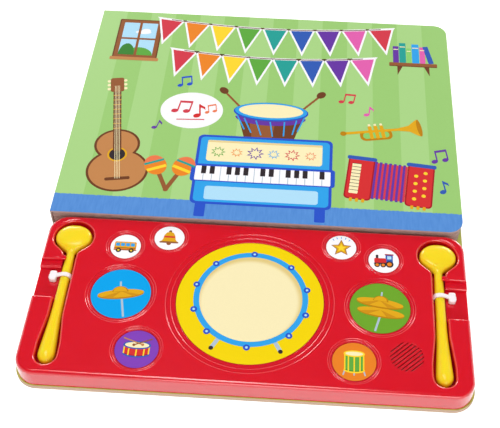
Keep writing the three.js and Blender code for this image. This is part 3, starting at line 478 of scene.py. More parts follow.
def oval(cx, cy, rx, ry, steps=48, tilt=0.0):
    t = math.radians(tilt)
    points = []
    for k in range(steps):
        a = 2 * math.pi * k / steps
        u, v = rx * math.cos(a), ry * math.sin(a)
        points.append((cx + u * math.cos(t) - v * math.sin(t), cy + u * math.sin(t) + v * math.cos(t)))
    return points


def circle(cx, cy, r, steps=48):
    return oval(cx, cy, r, r, steps)


def bar(x0, y0, x1, y1, width):
    """A straight stroke between two points."""
    along = Vector((x1 - x0, y1 - y0)).normalized() * (width / 2)
    return [(x0 + along.y, y0 - along.x), (x1 + along.y, y1 - along.x), (x1 - along.y, y1 + along.x),
            (x0 - along.y, y0 + along.x)]


def rounded(left, front, right, back, r, steps=6):
    return corner_outline(left, right, front, back, (r, r, r, r), steps)


def star(cx, cy, outer, inner, points, tilt=90.0):
    out = []
    for k in range(2 * points):
        r = outer if k % 2 == 0 else inner
        a = math.radians(tilt) + math.pi * k / points
        out.append((cx + r * math.cos(a), cy + r * math.sin(a)))
    return out


def arch(cx, cy, rx, ry, start=0, end=180, steps=24):
    """A stretch of an oval, closed by its chord."""
    return [(cx + rx * math.cos(math.radians(start + (end - start) * k / steps)),
             cy + ry * math.sin(math.radians(start + (end - start) * k / steps))) for k in range(steps + 1)]


def placed(shapes, dx, dy, scale=1.0, tilt=0.0, lift=0):
    """Moves, scales and turns a group of shapes."""
    t = math.radians(tilt)
    out = []
    for color, outline, layer in shapes:
        out.append((color, [(dx + scale * (px * math.cos(t) - py * math.sin(t)),
                             dy + scale * (px * math.sin(t) + py * math.cos(t))) for px, py in outline],
                    layer + lift))
    return out


def lay_ink(name, shapes, x, y, z, body, slot):
    """Builds one printed picture: shapes are (colour name, outline in millimetres, layer)."""
    vertices = []
    faces = []
    owners = []
    names = []
    for index, (color, outline, layer) in enumerate(shapes):
        if color not in names:
            names.append(color)
        start = len(vertices)
        count = len(outline)
        area = sum(a[0] * b[1] - b[0] * a[1] for a, b in zip(outline, outline[1:] + outline[:1]))
        if area < 0:
            outline = outline[::-1]
        for height in (z, z + LAYER * (layer + 0.9 * index / len(shapes))):
            vertices += [(x + px * MM, y + py * MM, height) for px, py in outline]
        faces.append(tuple(start + count + i for i in range(count)))
        faces.append(tuple(start + i for i in reversed(range(count))))
        for i in range(count):
            j = (i + 1) % count
            faces.append((start + i, start + j, start + count + j, start + count + i))
        owners += [names.index(color)] * (count + 2)
    thing = new_object(name, vertices, faces)
    for color in names:
        thing.data.materials.append(inks[color])
    for polygon, owner in zip(thing.data.polygons, owners):
        polygon.material_index = owner
    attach(thing, body)
    return thing


def quavers(color):
    """A pair of quavers joined by a beam."""
    return [(color, oval(-3, -4, 2.1, 1.6, 20, 20), 1), (color, oval(4, -3, 2.1, 1.6, 20, 20), 1),
            (color, bar(-1.3, -4, -1.3, 4.6, 0.9), 1), (color, bar(5.7, -3, 5.7, 5.6, 0.9), 1),
            (color, bar(-1.7, 4.3, 6.1, 5.3, 1.8), 2)]


def quaver(color):
    return [(color, oval(-1, -4, 2.1, 1.6, 20, 20), 1), (color, bar(0.7, -4, 0.7, 5, 0.9), 1),
            (color, [(0.4, 5.2), (3.6, 2.6), (3.8, 0.2), (2.6, 1.6), (0.4, 2.8)], 1)]


guitar = [
    ("brown", oval(0, 0, 20, 18.5), 1), ("brown", oval(0, 23, 15, 14), 1),
    ("brown", rounded(-11.5, 6, 11.5, 20, 2), 1), ("brown_light", oval(0, 0, 18.4, 16.9), 2),
    ("brown_light", oval(0, 23, 13.4, 12.4), 2), ("brown_light", rounded(-9.9, 6, 9.9, 20, 2), 2),
    ("gold", circle(0, 14, 6.4), 3), ("dark", circle(0, 14, 5.2), 4),
    ("brown", rounded(-8, -8.6, 8, -6, 1), 3),
    ("brown", rounded(-2.7, 17, 2.7, 76, 0.8), 5), ("brown_mid", rounded(-4.6, 74, 4.6, 88, 1.6), 6),
]
for k in range(8):
    guitar.append(("gold", bar(-2.7, 38 + 4.6 * k, 2.7, 38 + 4.6 * k, 0.5), 6))
for k in range(3):
    guitar += [("cream", circle(side * 5.6, 77 + 4 * k, 1.3, 16), 5) for side in (-1, 1)]
for k in range(4):
    guitar.append(("cream", bar(-1.5 + k, -7.4, -1.5 + k, 80, 0.3), 7))

piano = [
    ("deep_blue", rounded(-43, -45, -36, -28, 1), 1), ("deep_blue", rounded(36, -45, 43, -28, 1), 1),
    ("deep_blue", rounded(-47, -34, 47, 30, 4), 2), ("sky", rounded(-45, -32, 45, 28, 3), 3),
    ("cream", rounded(-40, 5, 40, 25, 2.5), 4), ("tan", rounded(-40, 23, 40, 25, 1), 5),
    ("deep_blue", rounded(-49, -14, 49, 2, 2), 4), ("white", rounded(-46, -13, 46, 0, 0.8), 5),
    ("pale_blue", rounded(-38, -30, 38, -18, 2), 4),
]
WHITE_KEYS = 16
for k in range(1, WHITE_KEYS):
    x = -46 + 92 * k / WHITE_KEYS
    piano.append(("grey", bar(x, -13, x, 0, 0.5), 6))
    if k % 7 not in (0, 3):
        piano.append(("dark", rounded(x - 1.7, -7, x + 1.7, 0, 0.4), 7))
STAR_ROW = (("green", 5.2), ("orange", 4.2), ("purple", 6.2), ("sky", 4.4), ("rose", 5.6), ("coral", 4.2))
for k, (color, outer) in enumerate(STAR_ROW):
    piano += [(color, star(-32 + 12.8 * k, 14, outer, outer * 0.55, 9, 20 * k), 6),
              ("cream", star(-32 + 12.8 * k, 14, outer * 0.74, outer * 0.4, 9, 20 * k), 7)]

hand_drum = [
    ("brown", [(-22, 0), (22, 0), (13, -34), (-13, -34)], 1),
    ("brown_mid", [(-15, 0), (4, 0), (1, -34), (-9, -34)], 2),
    ("purple", arch(0, -5, 22.6, 7.4, 180, 360), 3),
    ("brown", arch(0, -1.4, 22.6, 7.4, 180, 360), 4), ("deep_blue", oval(0, 0, 24, 8.6), 5),
    ("sky", oval(0, 0.6, 23.2, 7.8), 6), ("cream", oval(0, 0.9, 20.6, 6.3), 7),
]
for k in range(7):
    a = math.radians(200 + 140 * k / 6)
    top_x, top_y = 23 * math.cos(a), 8 * math.sin(a) - 1
    low_x, low_y = 18 * math.cos(a + 0.12), 8 * math.sin(a) - 14
    hand_drum.append(("sky", bar(top_x, top_y, low_x, low_y, 0.9), 4))
drum_sticks = []
for side in (-1, 1):
    drum_sticks += [("brown_mid", bar(side * 14, -8, side * 30, 12, 1.5), 2),
                    ("brown", oval(side * 31, 13.4, 3.4, 2.6, 24, 50 * side), 3)]

accordion = [("cream", rounded(-26, -14, -20, 13, 0.8), 4)]
for side in (-1, 1):
    left, right = sorted((side * 11, side * 29))
    accordion += [("red_dark", rounded(left, -19, right, 19, 3), 2),
                  ("red", rounded(left + 1, -18, right - 1, 18, 2.4), 3),
                  ("blue", rounded(left - 1, 16.6, right + 1, 20, 1.4), 4)]
    for k in range(3):
        x = side * 20 - 5 + 4 * k
        accordion.append(("gold", rounded(x, -21, x + 2, -18, 0.6), 5))
for k in range(7):
    x = -11 + 22 * (k + 0.5) / 7
    accordion += [("purple", rounded(x - 1.7, -17, x + 0.3, 17, 0.8), 1),
                  ("rose", rounded(x, -16, x + 1.5, 16, 0.7), 1)]
for k in range(9):
    accordion.append(("dark", bar(-26, -11 + 3 * k, -20, -11 + 3 * k, 0.45), 5))
for k in range(8):
    accordion.append(("yellow", circle(17 + 6 * (k % 2), -12 + 3.4 * k, 1.4, 16), 4))

trumpet = [
    ("gold_dark", rounded(-16, -9, 9, 2, 4.4), 1), ("leaf", rounded(-13.6, -6.8, 6.6, -0.6, 2.6), 2),
    ("gold", bar(-28, 0.6, 16, 0.6, 2.6), 3), ("gold_dark", circle(-28.4, 0.6, 2.4, 20), 3),
    ("gold", [(15, -0.9), (23, -2.6), (28, -7), (30, -8.4), (31, -8), (31, 9.2), (30, 9.6), (28, 8.2),
              (23, 3.8), (15, 2.1)], 4),
    ("gold_dark", oval(31, 0.6, 1.8, 9.2, 32), 5),
]
for k in range(3):
    trumpet += [("gold", rounded(-8.6 + 4.6 * k, -7.4, -5.8 + 4.6 * k, 6.4, 1), 5),
                ("cream", rounded(-8.2 + 4.6 * k, 6.4, -6.2 + 4.6 * k, 8.6, 0.6), 5)]

room_window = [
    ("brown", rounded(-17, -23, 17, 23, 1), 1), ("brown_mid", rounded(-16, -22, 16, 22, 1), 2),
    ("pale_blue", rounded(-13, -19, 13, 19, 0.6), 3), ("green", arch(2, -19, 11, 9), 4),
    ("green_dark", arch(-7, -19, 6, 13), 5), ("white", oval(3, 8, 6, 2.2), 4),
    ("white", oval(5, 10, 3.4, 2.2), 4),
    ("brown_mid", rounded(-1, -20, 1, 20, 0.3), 6), ("brown_mid", rounded(-14, -1, 14, 1, 0.3), 6),
    ("brown_light", rounded(-18.4, -25, 18.4, -21.6, 0.8), 6),
]
shelf = [("brown_mid", rounded(-18, -2.4, 18, 1, 0.6), 3), ("brown", rounded(-18, -3.2, 18, -2, 0.5), 2),
         ("brown", [(-12, -3), (-8, -3), (-12, -13)], 1), ("brown", [(12, -3), (8, -3), (12, -13)], 1)]
book_x = -15
SHELF_BOOKS = (("purple", 4.4, 19), ("teal", 5.0, 23), ("leaf", 3.8, 17), ("sky", 5.4, 22),
               ("pink", 4.2, 19))
for color, width, tall in SHELF_BOOKS:
    band_y = 1 + tall * 0.8
    shelf += [(color, rounded(book_x, 1, book_x + width, 1 + tall, 0.5), 1),
              ("cream", bar(book_x + 0.4, band_y, book_x + width - 0.4, band_y, 0.9), 2)]
    book_x += width + 0.4
shelf += placed([("blue", rounded(-2, 0, 2, 20, 0.5), 1)], book_x + 4, 1.2, tilt=12)

badge = [("white", oval(0, 0, 22.5, 18.5, 72), 1)]
badge += placed(quavers("rose"), -8, 3, 1.2, -8, 1) + placed(quaver("red"), 5, 0, 1.3, 6, 1)
badge += placed(quavers("coral"), 13, 2, 0.8, 10, 1) + [("rose", bar(-10, -10, 10, -9, 1.0), 2)]

maracas = []
for side in (-1, 1):
    maracas += placed([
        ("brown_mid", rounded(-1.6, -24, 1.6, -4, 1.4), 1), ("orange", oval(0, 3, 8, 9.6), 2),
        ("coral", arch(0, 3, 8, 9.6, 20, 160), 3), ("yellow", rounded(-7.2, -1.4, 7.2, 1.2, 0.4), 4),
        ("teal", rounded(-7.4, 5.2, 7.4, 7.2, 0.4), 4),
    ], side * 9, 0, 1.0, -side * 24, 2 + side)

picture = placed(maracas, -62, -62, 0.95) + placed(guitar, -97, -66, 1.06, 9)
picture += placed(hand_drum, 4, -2, 1.12) + placed(drum_sticks, 4, 3, 1.15)
picture += placed(piano, 2, -58, 1.0, 0, 1)
picture += placed(accordion, 88, -64, 1.02, -6) + placed(trumpet, 82, -16, 0.92, 10)
picture += placed(room_window, -103, 72) + placed(shelf, 108, 58) + placed(badge, -53, -4)
picture += placed(quavers("deep_blue"), -62, 26, 1, 8) + placed(quavers("rose"), 58, 16, 1, -10)
picture += placed(quaver("pink"), 74, 4, 1, -6) + placed(quavers("purple"), 122, -38, 1.1, 8)
picture += placed(quaver("blue"), 124, -66, 1.1, 10) + placed(quaver("purple"), -76, -20, 0.9, -12)
cover_middle = ((COVER_LOW.x + COVER_HIGH.x) / 2, (COVER_LOW.y + COVER_HIGH.y) / 2, COVER_TOP)
lay_ink("cover_picture", picture, *cover_middle, "cover", "cover_print")

# Pennants
# Two strings of printed pennants with white borders, in eight colours that follow each other.
PENNANT_W = 17 * MM
PENNANT_DROP = 25 * MM
BORDER = 2.2 * MM
STRING_W = 0.9 * MM
RAINBOW = ["rose", "orange", "yellow", "green", "teal", "blue", "purple", "pink"]

bunting, given, result = size_tree("pennant_string", {
    "Start": "Vector", "Sag": "Vector", "End": "Vector", "Count": "Int", "Colours": "Int",
    "Finish": "Material",
})
string = add_node(bunting, "GeometryNodeCurveQuadraticBezier", {"Resolution": 48})
feed(string, {"Start": given.outputs["Start"], "Middle": given.outputs["Sag"], "End": given.outputs["End"]})
knots = add_node(bunting, "GeometryNodeCurveToPoints", {
    "Curve": string, "Count": given.outputs["Count"],
}, mode="COUNT")
hang = add_node(bunting, "FunctionNodeAlignRotationToVector", {
    "Vector": knots.outputs["Tangent"],
}, axis="X")
flags = add_node(bunting, "GeometryNodeInstanceOnPoints", {
    "Points": knots.outputs["Points"], "Instance": given.outputs["Geometry"], "Rotation": hang,
})
number = add_node(bunting, "GeometryNodeInputIndex")
in_turn = calculate(bunting, "FLOORED_MODULO", number.outputs[0], given.outputs["Colours"])
share = calculate(bunting, "DIVIDE", calculate(bunting, "ADD", in_turn, 0.5), given.outputs["Colours"])
mark = add_node(bunting, "GeometryNodeStoreNamedAttribute", {
    "Name": "pennant_color", "Geometry": flags, "Value": share,
}, data_type="FLOAT", domain="INSTANCE")
end_tree(bunting, mark.outputs[0], given, result)

pennant_ink = ink("pennant_ink", (255, 255, 255))
tree = pennant_ink.node_tree
stored = add_node(tree, "ShaderNodeAttribute", attribute_name="pennant_color")
rainbow = add_node(tree, "ShaderNodeValToRGB")
rainbow.color_ramp.interpolation = "CONSTANT"
for k, color in enumerate(RAINBOW):
    if k < 2:
        stop = rainbow.color_ramp.elements[k]
        stop.position = k / len(RAINBOW)
    else:
        stop = rainbow.color_ramp.elements.new(k / len(RAINBOW))
    stop.color = srgb(*INK_COLORS[color])
feed(rainbow, {0: stored.outputs["Fac"]})
feed(shader_of(pennant_ink), {"Base Color": rainbow})


def pennant_row(name, left, right, height, sag, count):
    """One string with its pennants; left, right, height and sag are measured from the cover's middle."""
    x0, y0, z = cover_middle
    start = Vector((x0 + left, y0 + height, z))
    end = Vector((x0 + right, y0 + height, z))
    middle = (start + end) / 2 - Vector((0, 2 * sag, 0))
    half = PENNANT_W / 2
    field = [(-half, 0), (0, -PENNANT_DROP), (half, 0)]
    border = [(-half - 1.5 * BORDER, BORDER), (-half * 0.9 - 1.1 * BORDER, 0),
              (0, -PENNANT_DROP - 2.2 * BORDER), (half * 0.9 + 1.1 * BORDER, 0),
              (half + 1.5 * BORDER, BORDER)]
    sizes = {"Start": tuple(start), "Sag": tuple(middle), "End": tuple(end), "Count": count,
             "Colours": len(RAINBOW)}
    parts = (("borders", border, 3, inks["white"]), ("fields", field, 4, pennant_ink))
    for part, outline, layers, made in parts:
        flag = loft(f"{name}_{part}", [[(x, y, z) for x, y in outline] for z in (0, LAYER * layers)])
        run_tree(flag, bunting, {**sizes, "Finish": made})
        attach(flag, "cover")
    ribbon = []
    for shift in (-1, 1):
        line = []
        for k in range(25):
            t = k / 24
            at = start * (1 - t) ** 2 + middle * (2 * t * (1 - t)) + end * t * t
            line.append(((at.x - x0) / MM, (at.y - y0 + shift * STRING_W / 2) / MM + 1))
        ribbon += line if shift < 0 else line[::-1]
    lay_ink(f"{name}_string", [("brown", ribbon, 5)], *cover_middle, "cover", "cover_print")


pennant_row("pennants_back", -80 * MM, 84 * MM, 96 * MM, 6 * MM, 9)
pennant_row("pennants_front", -66 * MM, 70 * MM, 60 * MM, 5 * MM, 8)

# Pieces inside the module
# Base plate, circuit board, loudspeaker, cells, contacts, wires and screws. They keep their plain
# solids and take the finish of the real ones, except the loudspeaker cone: its pink-red is a painted
# glow that stands for the red light seen through the grille slots.
base_grey = surface("base_grey", srgb(66, 66, 70), 0.5, spread=0.05, grain=400, bump=0.3, bump_scale=1800)
circuit_green = surface("circuit_green", srgb(38, 110, 60), 0.4, spread=0.3, grain=220, bump=0.1)
epoxy = surface("epoxy", srgb(20, 20, 22), 0.25, spread=0.1, grain=100, bump=0.1, bump_scale=300)
# The cone's pink-red is a painted glow: it lightens the grille slots as light through the red plastic
# would.
cone_with_painted_glow = surface("cone_with_painted_glow", srgb(206, 84, 92), 0.35, spread=0.3, grain=500, bump=0.3)
red_wire = surface("red_wire", srgb(190, 34, 34), 0.45)
black_wire = surface("black_wire", srgb(32, 32, 34), 0.45, spread=0.08)
steel = surface("plated_steel", srgb(196, 196, 200), 0.3, spread=0.08, grain=700,
                stretch=(1, 6, 1), bump=0.1)
feed(shader_of(steel), {"Metallic": 1.0})
inside = {
    "module_base": base_grey, "battery_door": base_grey, "circuit_board": circuit_green,
    "sound_chip": epoxy, "speaker_frame": steel, "speaker_cone": cone_with_painted_glow, "speaker_magnet": steel,
    "speaker_wire_red": red_wire, "speaker_wire_black": black_wire, "battery_door_screw": steel,
}
inside.update({f"case_screw_{k}": steel for k in range(1, 5)})
inside.update({f"battery_cell_{k}": steel for k in range(1, 4)})
inside.update({f"battery_contact_{k}": steel for k in range(1, 5)})


def dress(node_name, made):
    """Gives a carried-over solid its material."""
    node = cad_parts[node_name]
    node.data.materials.clear()
    node.data.materials.append(made)


for node_name, made in inside.items():
    dress(node_name, made)

# Module shell
# One glossy red injection moulding: a shallow tray turned over, with stepped seats for the pads,
# slots for the mallets, a finger notch beside each slot and slots for the loudspeaker.
SHELL_LOW, SHELL_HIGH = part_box("module_shell")
SHELL_TOP = SHELL_HIGH.z
MODULE_Y = (SHELL_LOW.y + SHELL_HIGH.y) / 2
SHELL_WALL = 2 * MM
SHELL_UNDER = SHELL_TOP - SHELL_WALL
SHELL_CORNER = 13 * MM
RIM_R = 2.5 * MM
DRAFT = 0.6 * MM
PAD_GAP = 0.12 * MM
STEP = 0.4 * MM
STEP_RUN = 0.7 * MM
HOLE_LIP = 0.2 * MM
OVER = 1 * MM
SLOT_X = 116.9 * MM
SLOT_HALF = 4.1 * MM
SLOT_WALL = 1.2 * MM
SLOT_LIP = 1.9 * MM
HEAD_POCKET_R = 12.75 * MM
HEAD_POCKET_Y = 42.7 * MM
END_POCKET_R = 6.45 * MM
END_POCKET_Y = -46.3 * MM
NECK_Y = 30 * MM
FLARE_Y = -18 * MM
FLARE_END_Y = -38 * MM
RAISED_FLOOR_Y = -2 * MM
MALLET_Z = SHELL_TOP - 4.35 * MM
HEAD_FLOOR = MALLET_Z - 5.5 * MM
STICK_FLOOR = MALLET_Z - 3.0 * MM
END_FLOOR = MALLET_Z - 4.8 * MM
NOTCH_BACK = 24 * MM
NOTCH_TREAD = 5 * MM
NOTCH_FRONT = -5 * MM
NOTCH_FLOOR = SHELL_TOP - 5.75 * MM
NOTCH_STEP_Z = SHELL_TOP - 2.9 * MM
NOTCH_LIP = 1.3 * MM
NUB_W = 3 * MM
NUB_T = 1.3 * MM
NUB_SINK = 0.3 * MM
NUB_REACH = 2.4 * MM
NUB_ROUND = 0.4 * MM
NUB_BREAK = 0.12 * MM


def turned(name, profile, x, y, sides):
    """A body of revolution about the vertical through x, y; the profile starts and ends on the axis."""
    vertices = []
    rings = []
    for r, z in profile:
        count = sides if r > 1e-9 else 1
        rings.append(range(len(vertices), len(vertices) + count))
        for i in range(count):
            angle = 2 * math.pi * i / sides
            vertices.append((x + r * math.cos(angle), y + r * math.sin(angle), z))
    faces = []
    for low, high in zip(rings, rings[1:]):
        for i in range(sides):
            j = i + 1
            corners = [low[i % len(low)], low[j % len(low)], high[j % len(high)], high[i % len(high)]]
            unique = list(dict.fromkeys(corners))
            if len(unique) > 2:
                faces.append(unique)
    thing = new_object(name, vertices, faces)
    turn_outwards(thing)
    return thing


def arc(centre_r, centre_z, radius, start, end, steps=5):
    """Points of an arc in a profile, angles in degrees."""
    points = []
    for k in range(steps + 1):
        angle = math.radians(start + (end - start) * k / steps)
        points.append((centre_r + radius * math.cos(angle), centre_z + radius * math.sin(angle)))
    return points


def slot_outline(grow):
    """Outline of a mallet slot about its own axis, as closely spaced points."""
    ends = arc(0, HEAD_POCKET_Y, HEAD_POCKET_R, -30, 210, 48)
    ends += [(-SLOT_HALF, NECK_Y), (-SLOT_HALF, FLARE_Y), (-END_POCKET_R, FLARE_END_Y)]
    ends += arc(0, END_POCKET_Y, END_POCKET_R, 180, 360, 32)
    ends += [(END_POCKET_R, FLARE_END_Y), (SLOT_HALF, FLARE_Y), (SLOT_HALF, NECK_Y)]
    points = []
    spacing = 0.8 * MM
    for (x0, y0), (x1, y1) in zip(ends, ends[1:] + ends[:1]):
        count = max(1, round(math.hypot(x1 - x0, y1 - y0) / spacing))
        points += [(x0 + (x1 - x0) * k / count, y0 + (y1 - y0) * k / count) for k in range(count)]
    for _ in range(6):
        points = [((a[0] + 2 * b[0] + c[0]) / 4, (a[1] + 2 * b[1] + c[1]) / 4)
                  for a, b, c in zip(points[-1:] + points[:-1], points, points[1:] + points[:1])]
    grown = []
    for a, b, c in zip(points[-1:] + points[:-1], points, points[1:] + points[:1]):
        run = Vector((c[0] - a[0], c[1] - a[1])).normalized()
        grown.append((b[0] + run.y * grow, b[1] - run.x * grow))
    return grown


def slot_tool(side, grow, floor_z, top, front, back, lip):
    """One stretch of a slot between two places, cut to its floor, with a rounded lip at the top."""
    levels = [(floor_z, grow)]
    if lip:
        levels += [(z, extra) for extra, z in arc(lip, top - OVER - lip, lip, 180, 90, 7)]
    levels += [(top, grow + lip)]
    rings = [[(side * SLOT_X + x, MODULE_Y + y, z) for x, y in slot_outline(extra)] for z, extra in levels]
    tool = loft("slot", rings)
    reach = 2 * HEAD_POCKET_R
    keep = block("keep", (side * SLOT_X - reach, MODULE_Y + front, floor_z - OVER),
                 (side * SLOT_X + reach, MODULE_Y + back, top + OVER))
    combine(tool, keep, "INTERSECT")
    return tool


def slot_parts(side, grow, sink, top, lip):
    front = END_POCKET_Y - 2 * END_POCKET_R
    back = HEAD_POCKET_Y + 2 * HEAD_POCKET_R
    yield slot_tool(side, grow, END_FLOOR - sink, top, front, RAISED_FLOOR_Y + grow, lip)
    yield slot_tool(side, grow, STICK_FLOOR - sink, top, RAISED_FLOOR_Y, NECK_Y, lip)
    yield slot_tool(side, grow, HEAD_FLOOR - sink, top, NECK_Y - grow, back, lip)


def notch_tool(side):
    """The finger notch: two rounded steps down from the back, a level floor and one step up in front."""
    lip = NOTCH_LIP
    step_y = NOTCH_BACK - NOTCH_TREAD
    outline = [(NOTCH_FRONT, NOTCH_FLOOR)]
    outline += arc(NOTCH_FRONT - lip, SHELL_TOP - lip, lip, 0, 90)
    outline += [(NOTCH_FRONT - lip, SHELL_TOP + OVER), (NOTCH_BACK + lip, SHELL_TOP + OVER)]
    outline += arc(NOTCH_BACK + lip, SHELL_TOP - lip, lip, 90, 180)
    outline += [(NOTCH_BACK, NOTCH_STEP_Z)]
    outline += arc(step_y + lip, NOTCH_STEP_Z - lip, lip, 90, 180)
    outline += [(step_y, NOTCH_FLOOR)]
    inner = side * (SLOT_X + SLOT_HALF - SLOT_WALL)
    outer = side * (SHELL_HIGH.x + OVER)
    return loft("notch", [[(x, MODULE_Y + y, z) for y, z in outline] for x in (inner, outer)])


def ledge(side, front, back, low):
    """The floor and walls that the shell grows round a notch."""
    inner = side * (SLOT_X + SLOT_HALF - SLOT_WALL)
    outer = side * (SHELL_HIGH.x - SHELL_WALL - DRAFT / 2)
    return block("ledge", (min(inner, outer), MODULE_Y + front, low),
                 (max(inner, outer), MODULE_Y + back, SHELL_UNDER + OVER / 2))


shell_levels = [(SHELL_LOW.z, 0)]
shell_levels += [(z, DRAFT + inset) for inset, z in arc(RIM_R, SHELL_TOP - RIM_R, RIM_R, 180, 90, 9)]
shell = plate("module_shell_moulding", SHELL_LOW.x, SHELL_HIGH.x, SHELL_LOW.y, SHELL_HIGH.y,
              [SHELL_CORNER] * 4, shell_levels, 20)
cavity = plate("cavity", SHELL_LOW.x + SHELL_WALL, SHELL_HIGH.x - SHELL_WALL, SHELL_LOW.y + SHELL_WALL,
               SHELL_HIGH.y - SHELL_WALL, [SHELL_CORNER - SHELL_WALL] * 4,
               [(SHELL_LOW.z - OVER, 0), (SHELL_UNDER, DRAFT)], 12)
combine(shell, cavity, "DIFFERENCE")
for side in (-1, 1):
    for part in slot_parts(side, SLOT_WALL, SLOT_WALL, SHELL_UNDER + OVER / 2, 0):
        combine(shell, part, "UNION")
    step_y = NOTCH_BACK - NOTCH_TREAD
    low_ledge = ledge(side, NOTCH_FRONT - SLOT_WALL, step_y + SLOT_WALL, NOTCH_FLOOR - SLOT_WALL)
    combine(shell, low_ledge, "UNION")
    high_ledge = ledge(side, step_y, NOTCH_BACK + SLOT_WALL, NOTCH_STEP_Z - SLOT_WALL)
    combine(shell, high_ledge, "UNION")
for side in (-1, 1):
    for part in slot_parts(side, 0, 0, SHELL_TOP + OVER, SLOT_LIP):
        combine(shell, part, "DIFFERENCE")
    combine(shell, notch_tool(side), "DIFFERENCE")
    nub_tip = side * (SLOT_X + SLOT_HALF - NUB_REACH)
    nub_root = side * (SLOT_X + SLOT_HALF + SLOT_LIP + SLOT_WALL)
    nub_top = SHELL_TOP - NUB_SINK
    nub = plate("nub", min(nub_tip, nub_root), max(nub_tip, nub_root), MODULE_Y + NOTCH_BACK,
                MODULE_Y + NOTCH_BACK + NUB_W, [NUB_W * 0.45] * 4,
                [(nub_top - NUB_T, 0), (nub_top - NUB_ROUND, 0), (nub_top - NUB_BREAK, NUB_BREAK),
                 (nub_top, NUB_ROUND)], 6)
    combine(shell, nub, "UNION")

# Seats of the pads
# Each pad sits in a round hole with two shallow moulded steps round it. The steps catch the light
# as thin bright rings.
PADS = ("main_drum", "cymbal_left", "cymbal_right", "drum_left", "drum_right", "button_1", "button_2",
        "button_3", "button_4")
MAIN_STEP = 3.1 * MM
CYMBAL_STEP = 1.5 * MM
SMALL_STEP = 1.2 * MM
PAD_STEPS = {"main_drum": MAIN_STEP, "cymbal_left": CYMBAL_STEP, "cymbal_right": CYMBAL_STEP}
LARGE_PAD_R = 30 * MM


def eased_step(middle_r, run, low_z, steps=8):
    """A shallow step with a soft foot and a soft brow, rising outwards."""
    return [(middle_r + run * (k / steps - 0.5), low_z + STEP * (1 - math.cos(math.pi * k / steps)) / 2)
            for k in range(steps + 1)]


def round_sides(r):
    """Sides that make a rim of this radius look round."""
    return 160 if r > LARGE_PAD_R else 96


def pad_seat(x, y, r, step):
    """The stepped hole of one pad."""
    hole = r + PAD_GAP
    low = SHELL_TOP - 2 * STEP
    run = min(STEP_RUN, 0.45 * step)
    profile = [(0, SHELL_UNDER - OVER), (hole, SHELL_UNDER - OVER)]
    profile += arc(hole + HOLE_LIP, low - HOLE_LIP, HOLE_LIP, 180, 90)
    profile += eased_step(r + step, run, low) + eased_step(r + 2 * step, run, low + STEP)
    profile += [(profile[-1][0], SHELL_TOP + OVER), (0, SHELL_TOP + OVER)]
    return turned("seat", profile, x, y, round_sides(r))


pad_places = {}
for pad in PADS:
    low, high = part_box(pad + "_label")
    pad_places[pad] = ((low.x + high.x) / 2, (low.y + high.y) / 2, (high.x - low.x) / 2, low.z, high.z)
    x, y, r = pad_places[pad][:3]
    combine(shell, pad_seat(x, y, r, PAD_STEPS.get(pad, SMALL_STEP)), "DIFFERENCE")

# Loudspeaker grille
# A round field of slanting slots, cut off by the circle that bounds them and sunk a little into
# the top of the shell.
GRILLE_COUNT = 9
GRILLE_PITCH = 2.15 * MM
GRILLE_SLOT = 0.75 * MM
GRILLE_R = 10 * MM
GRILLE_SINK = 0.22 * MM
GRILLE_BROW = 0.9 * MM
GRILLE_LIP = 0.42 * MM
GRILLE_RIM = 0.2 * MM
GRILLE_ANGLE = math.radians(43)
SPEAKER_LOW, SPEAKER_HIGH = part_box("speaker_frame")
SPEAKER_AT = ((SPEAKER_LOW.x + SPEAKER_HIGH.x) / 2, (SPEAKER_LOW.y + SPEAKER_HIGH.y) / 2)

grille, given, result = size_tree("grille_slots", {
    "Count": "Int", "Pitch": "Float", "Reach": "Float", "Angle": "Float", "Place": "Vector",
    "Finish": "Material",
})
apart = add_node(grille, "ShaderNodeCombineXYZ", {"Y": given.outputs["Pitch"]})
gaps = calculate(grille, "SUBTRACT", given.outputs["Count"], 1)
field = calculate(grille, "MULTIPLY", gaps, given.outputs["Pitch"])
half_row = calculate(grille, "MULTIPLY", field, -0.5)
first = add_node(grille, "ShaderNodeCombineXYZ", {"Y": half_row})
row = add_node(grille, "GeometryNodeMeshLine", {
    "Count": given.outputs["Count"], "Offset": apart, "Start Location": first,
})
stretch_slot = add_node(grille, "ShaderNodeCombineXYZ", {
    "X": calculate(grille, "MULTIPLY", given.outputs["Reach"], 2), "Y": 1, "Z": 1,
})
slots = add_node(grille, "GeometryNodeInstanceOnPoints", {
    "Points": row, "Instance": given.outputs["Geometry"], "Scale": stretch_slot,
})
slant = add_node(grille, "ShaderNodeCombineXYZ", {"Z": given.outputs["Angle"]})
lay = add_node(grille, "GeometryNodeTransform", {
    "Geometry": slots, "Rotation": slant, "Translation": given.outputs["Place"],
})
end_tree(grille, lay.outputs[0], given, result)

red_plastic = surface("red_plastic", srgb(226, 10, 36), 0.2, spread=0.03, grain=60, bump=0.03,
                      bump_scale=900, rough_spread=0.03, coat=0.8)
feed(shader_of(red_plastic), {
    "Coat Roughness": 0.08, "Coat IOR": 1.65, "Subsurface Weight": 0.6,
    "Subsurface Radius": (1.0, 0.08, 0.1), "Subsurface Scale": 3 * MM,
})
sunk = SHELL_TOP - GRILLE_SINK
brow_r = GRILLE_R + GRILLE_BROW
brow = [(0, sunk), (GRILLE_R + GRILLE_RIM, sunk), (brow_r, SHELL_TOP), (brow_r, SHELL_TOP + OVER),
        (0, SHELL_TOP + OVER)]
combine(shell, turned("grille_brow", brow, *SPEAKER_AT, round_sides(GRILLE_R)), "DIFFERENCE")
slot_levels = [(SHELL_UNDER - OVER, 0)]
slot_levels += [(z, extra) for extra, z in arc(GRILLE_LIP, sunk - GRILLE_LIP, GRILLE_LIP, 180, 90, 4)]
slot_levels += [(SHELL_TOP + OVER, GRILLE_LIP)]
slot_cut = loft("slot_cut", [[(x, y * (GRILLE_SLOT / 2 + extra), z)
                              for x, y in ((-0.5, -1), (0.5, -1), (0.5, 1), (-0.5, 1))]
                             for z, extra in slot_levels])
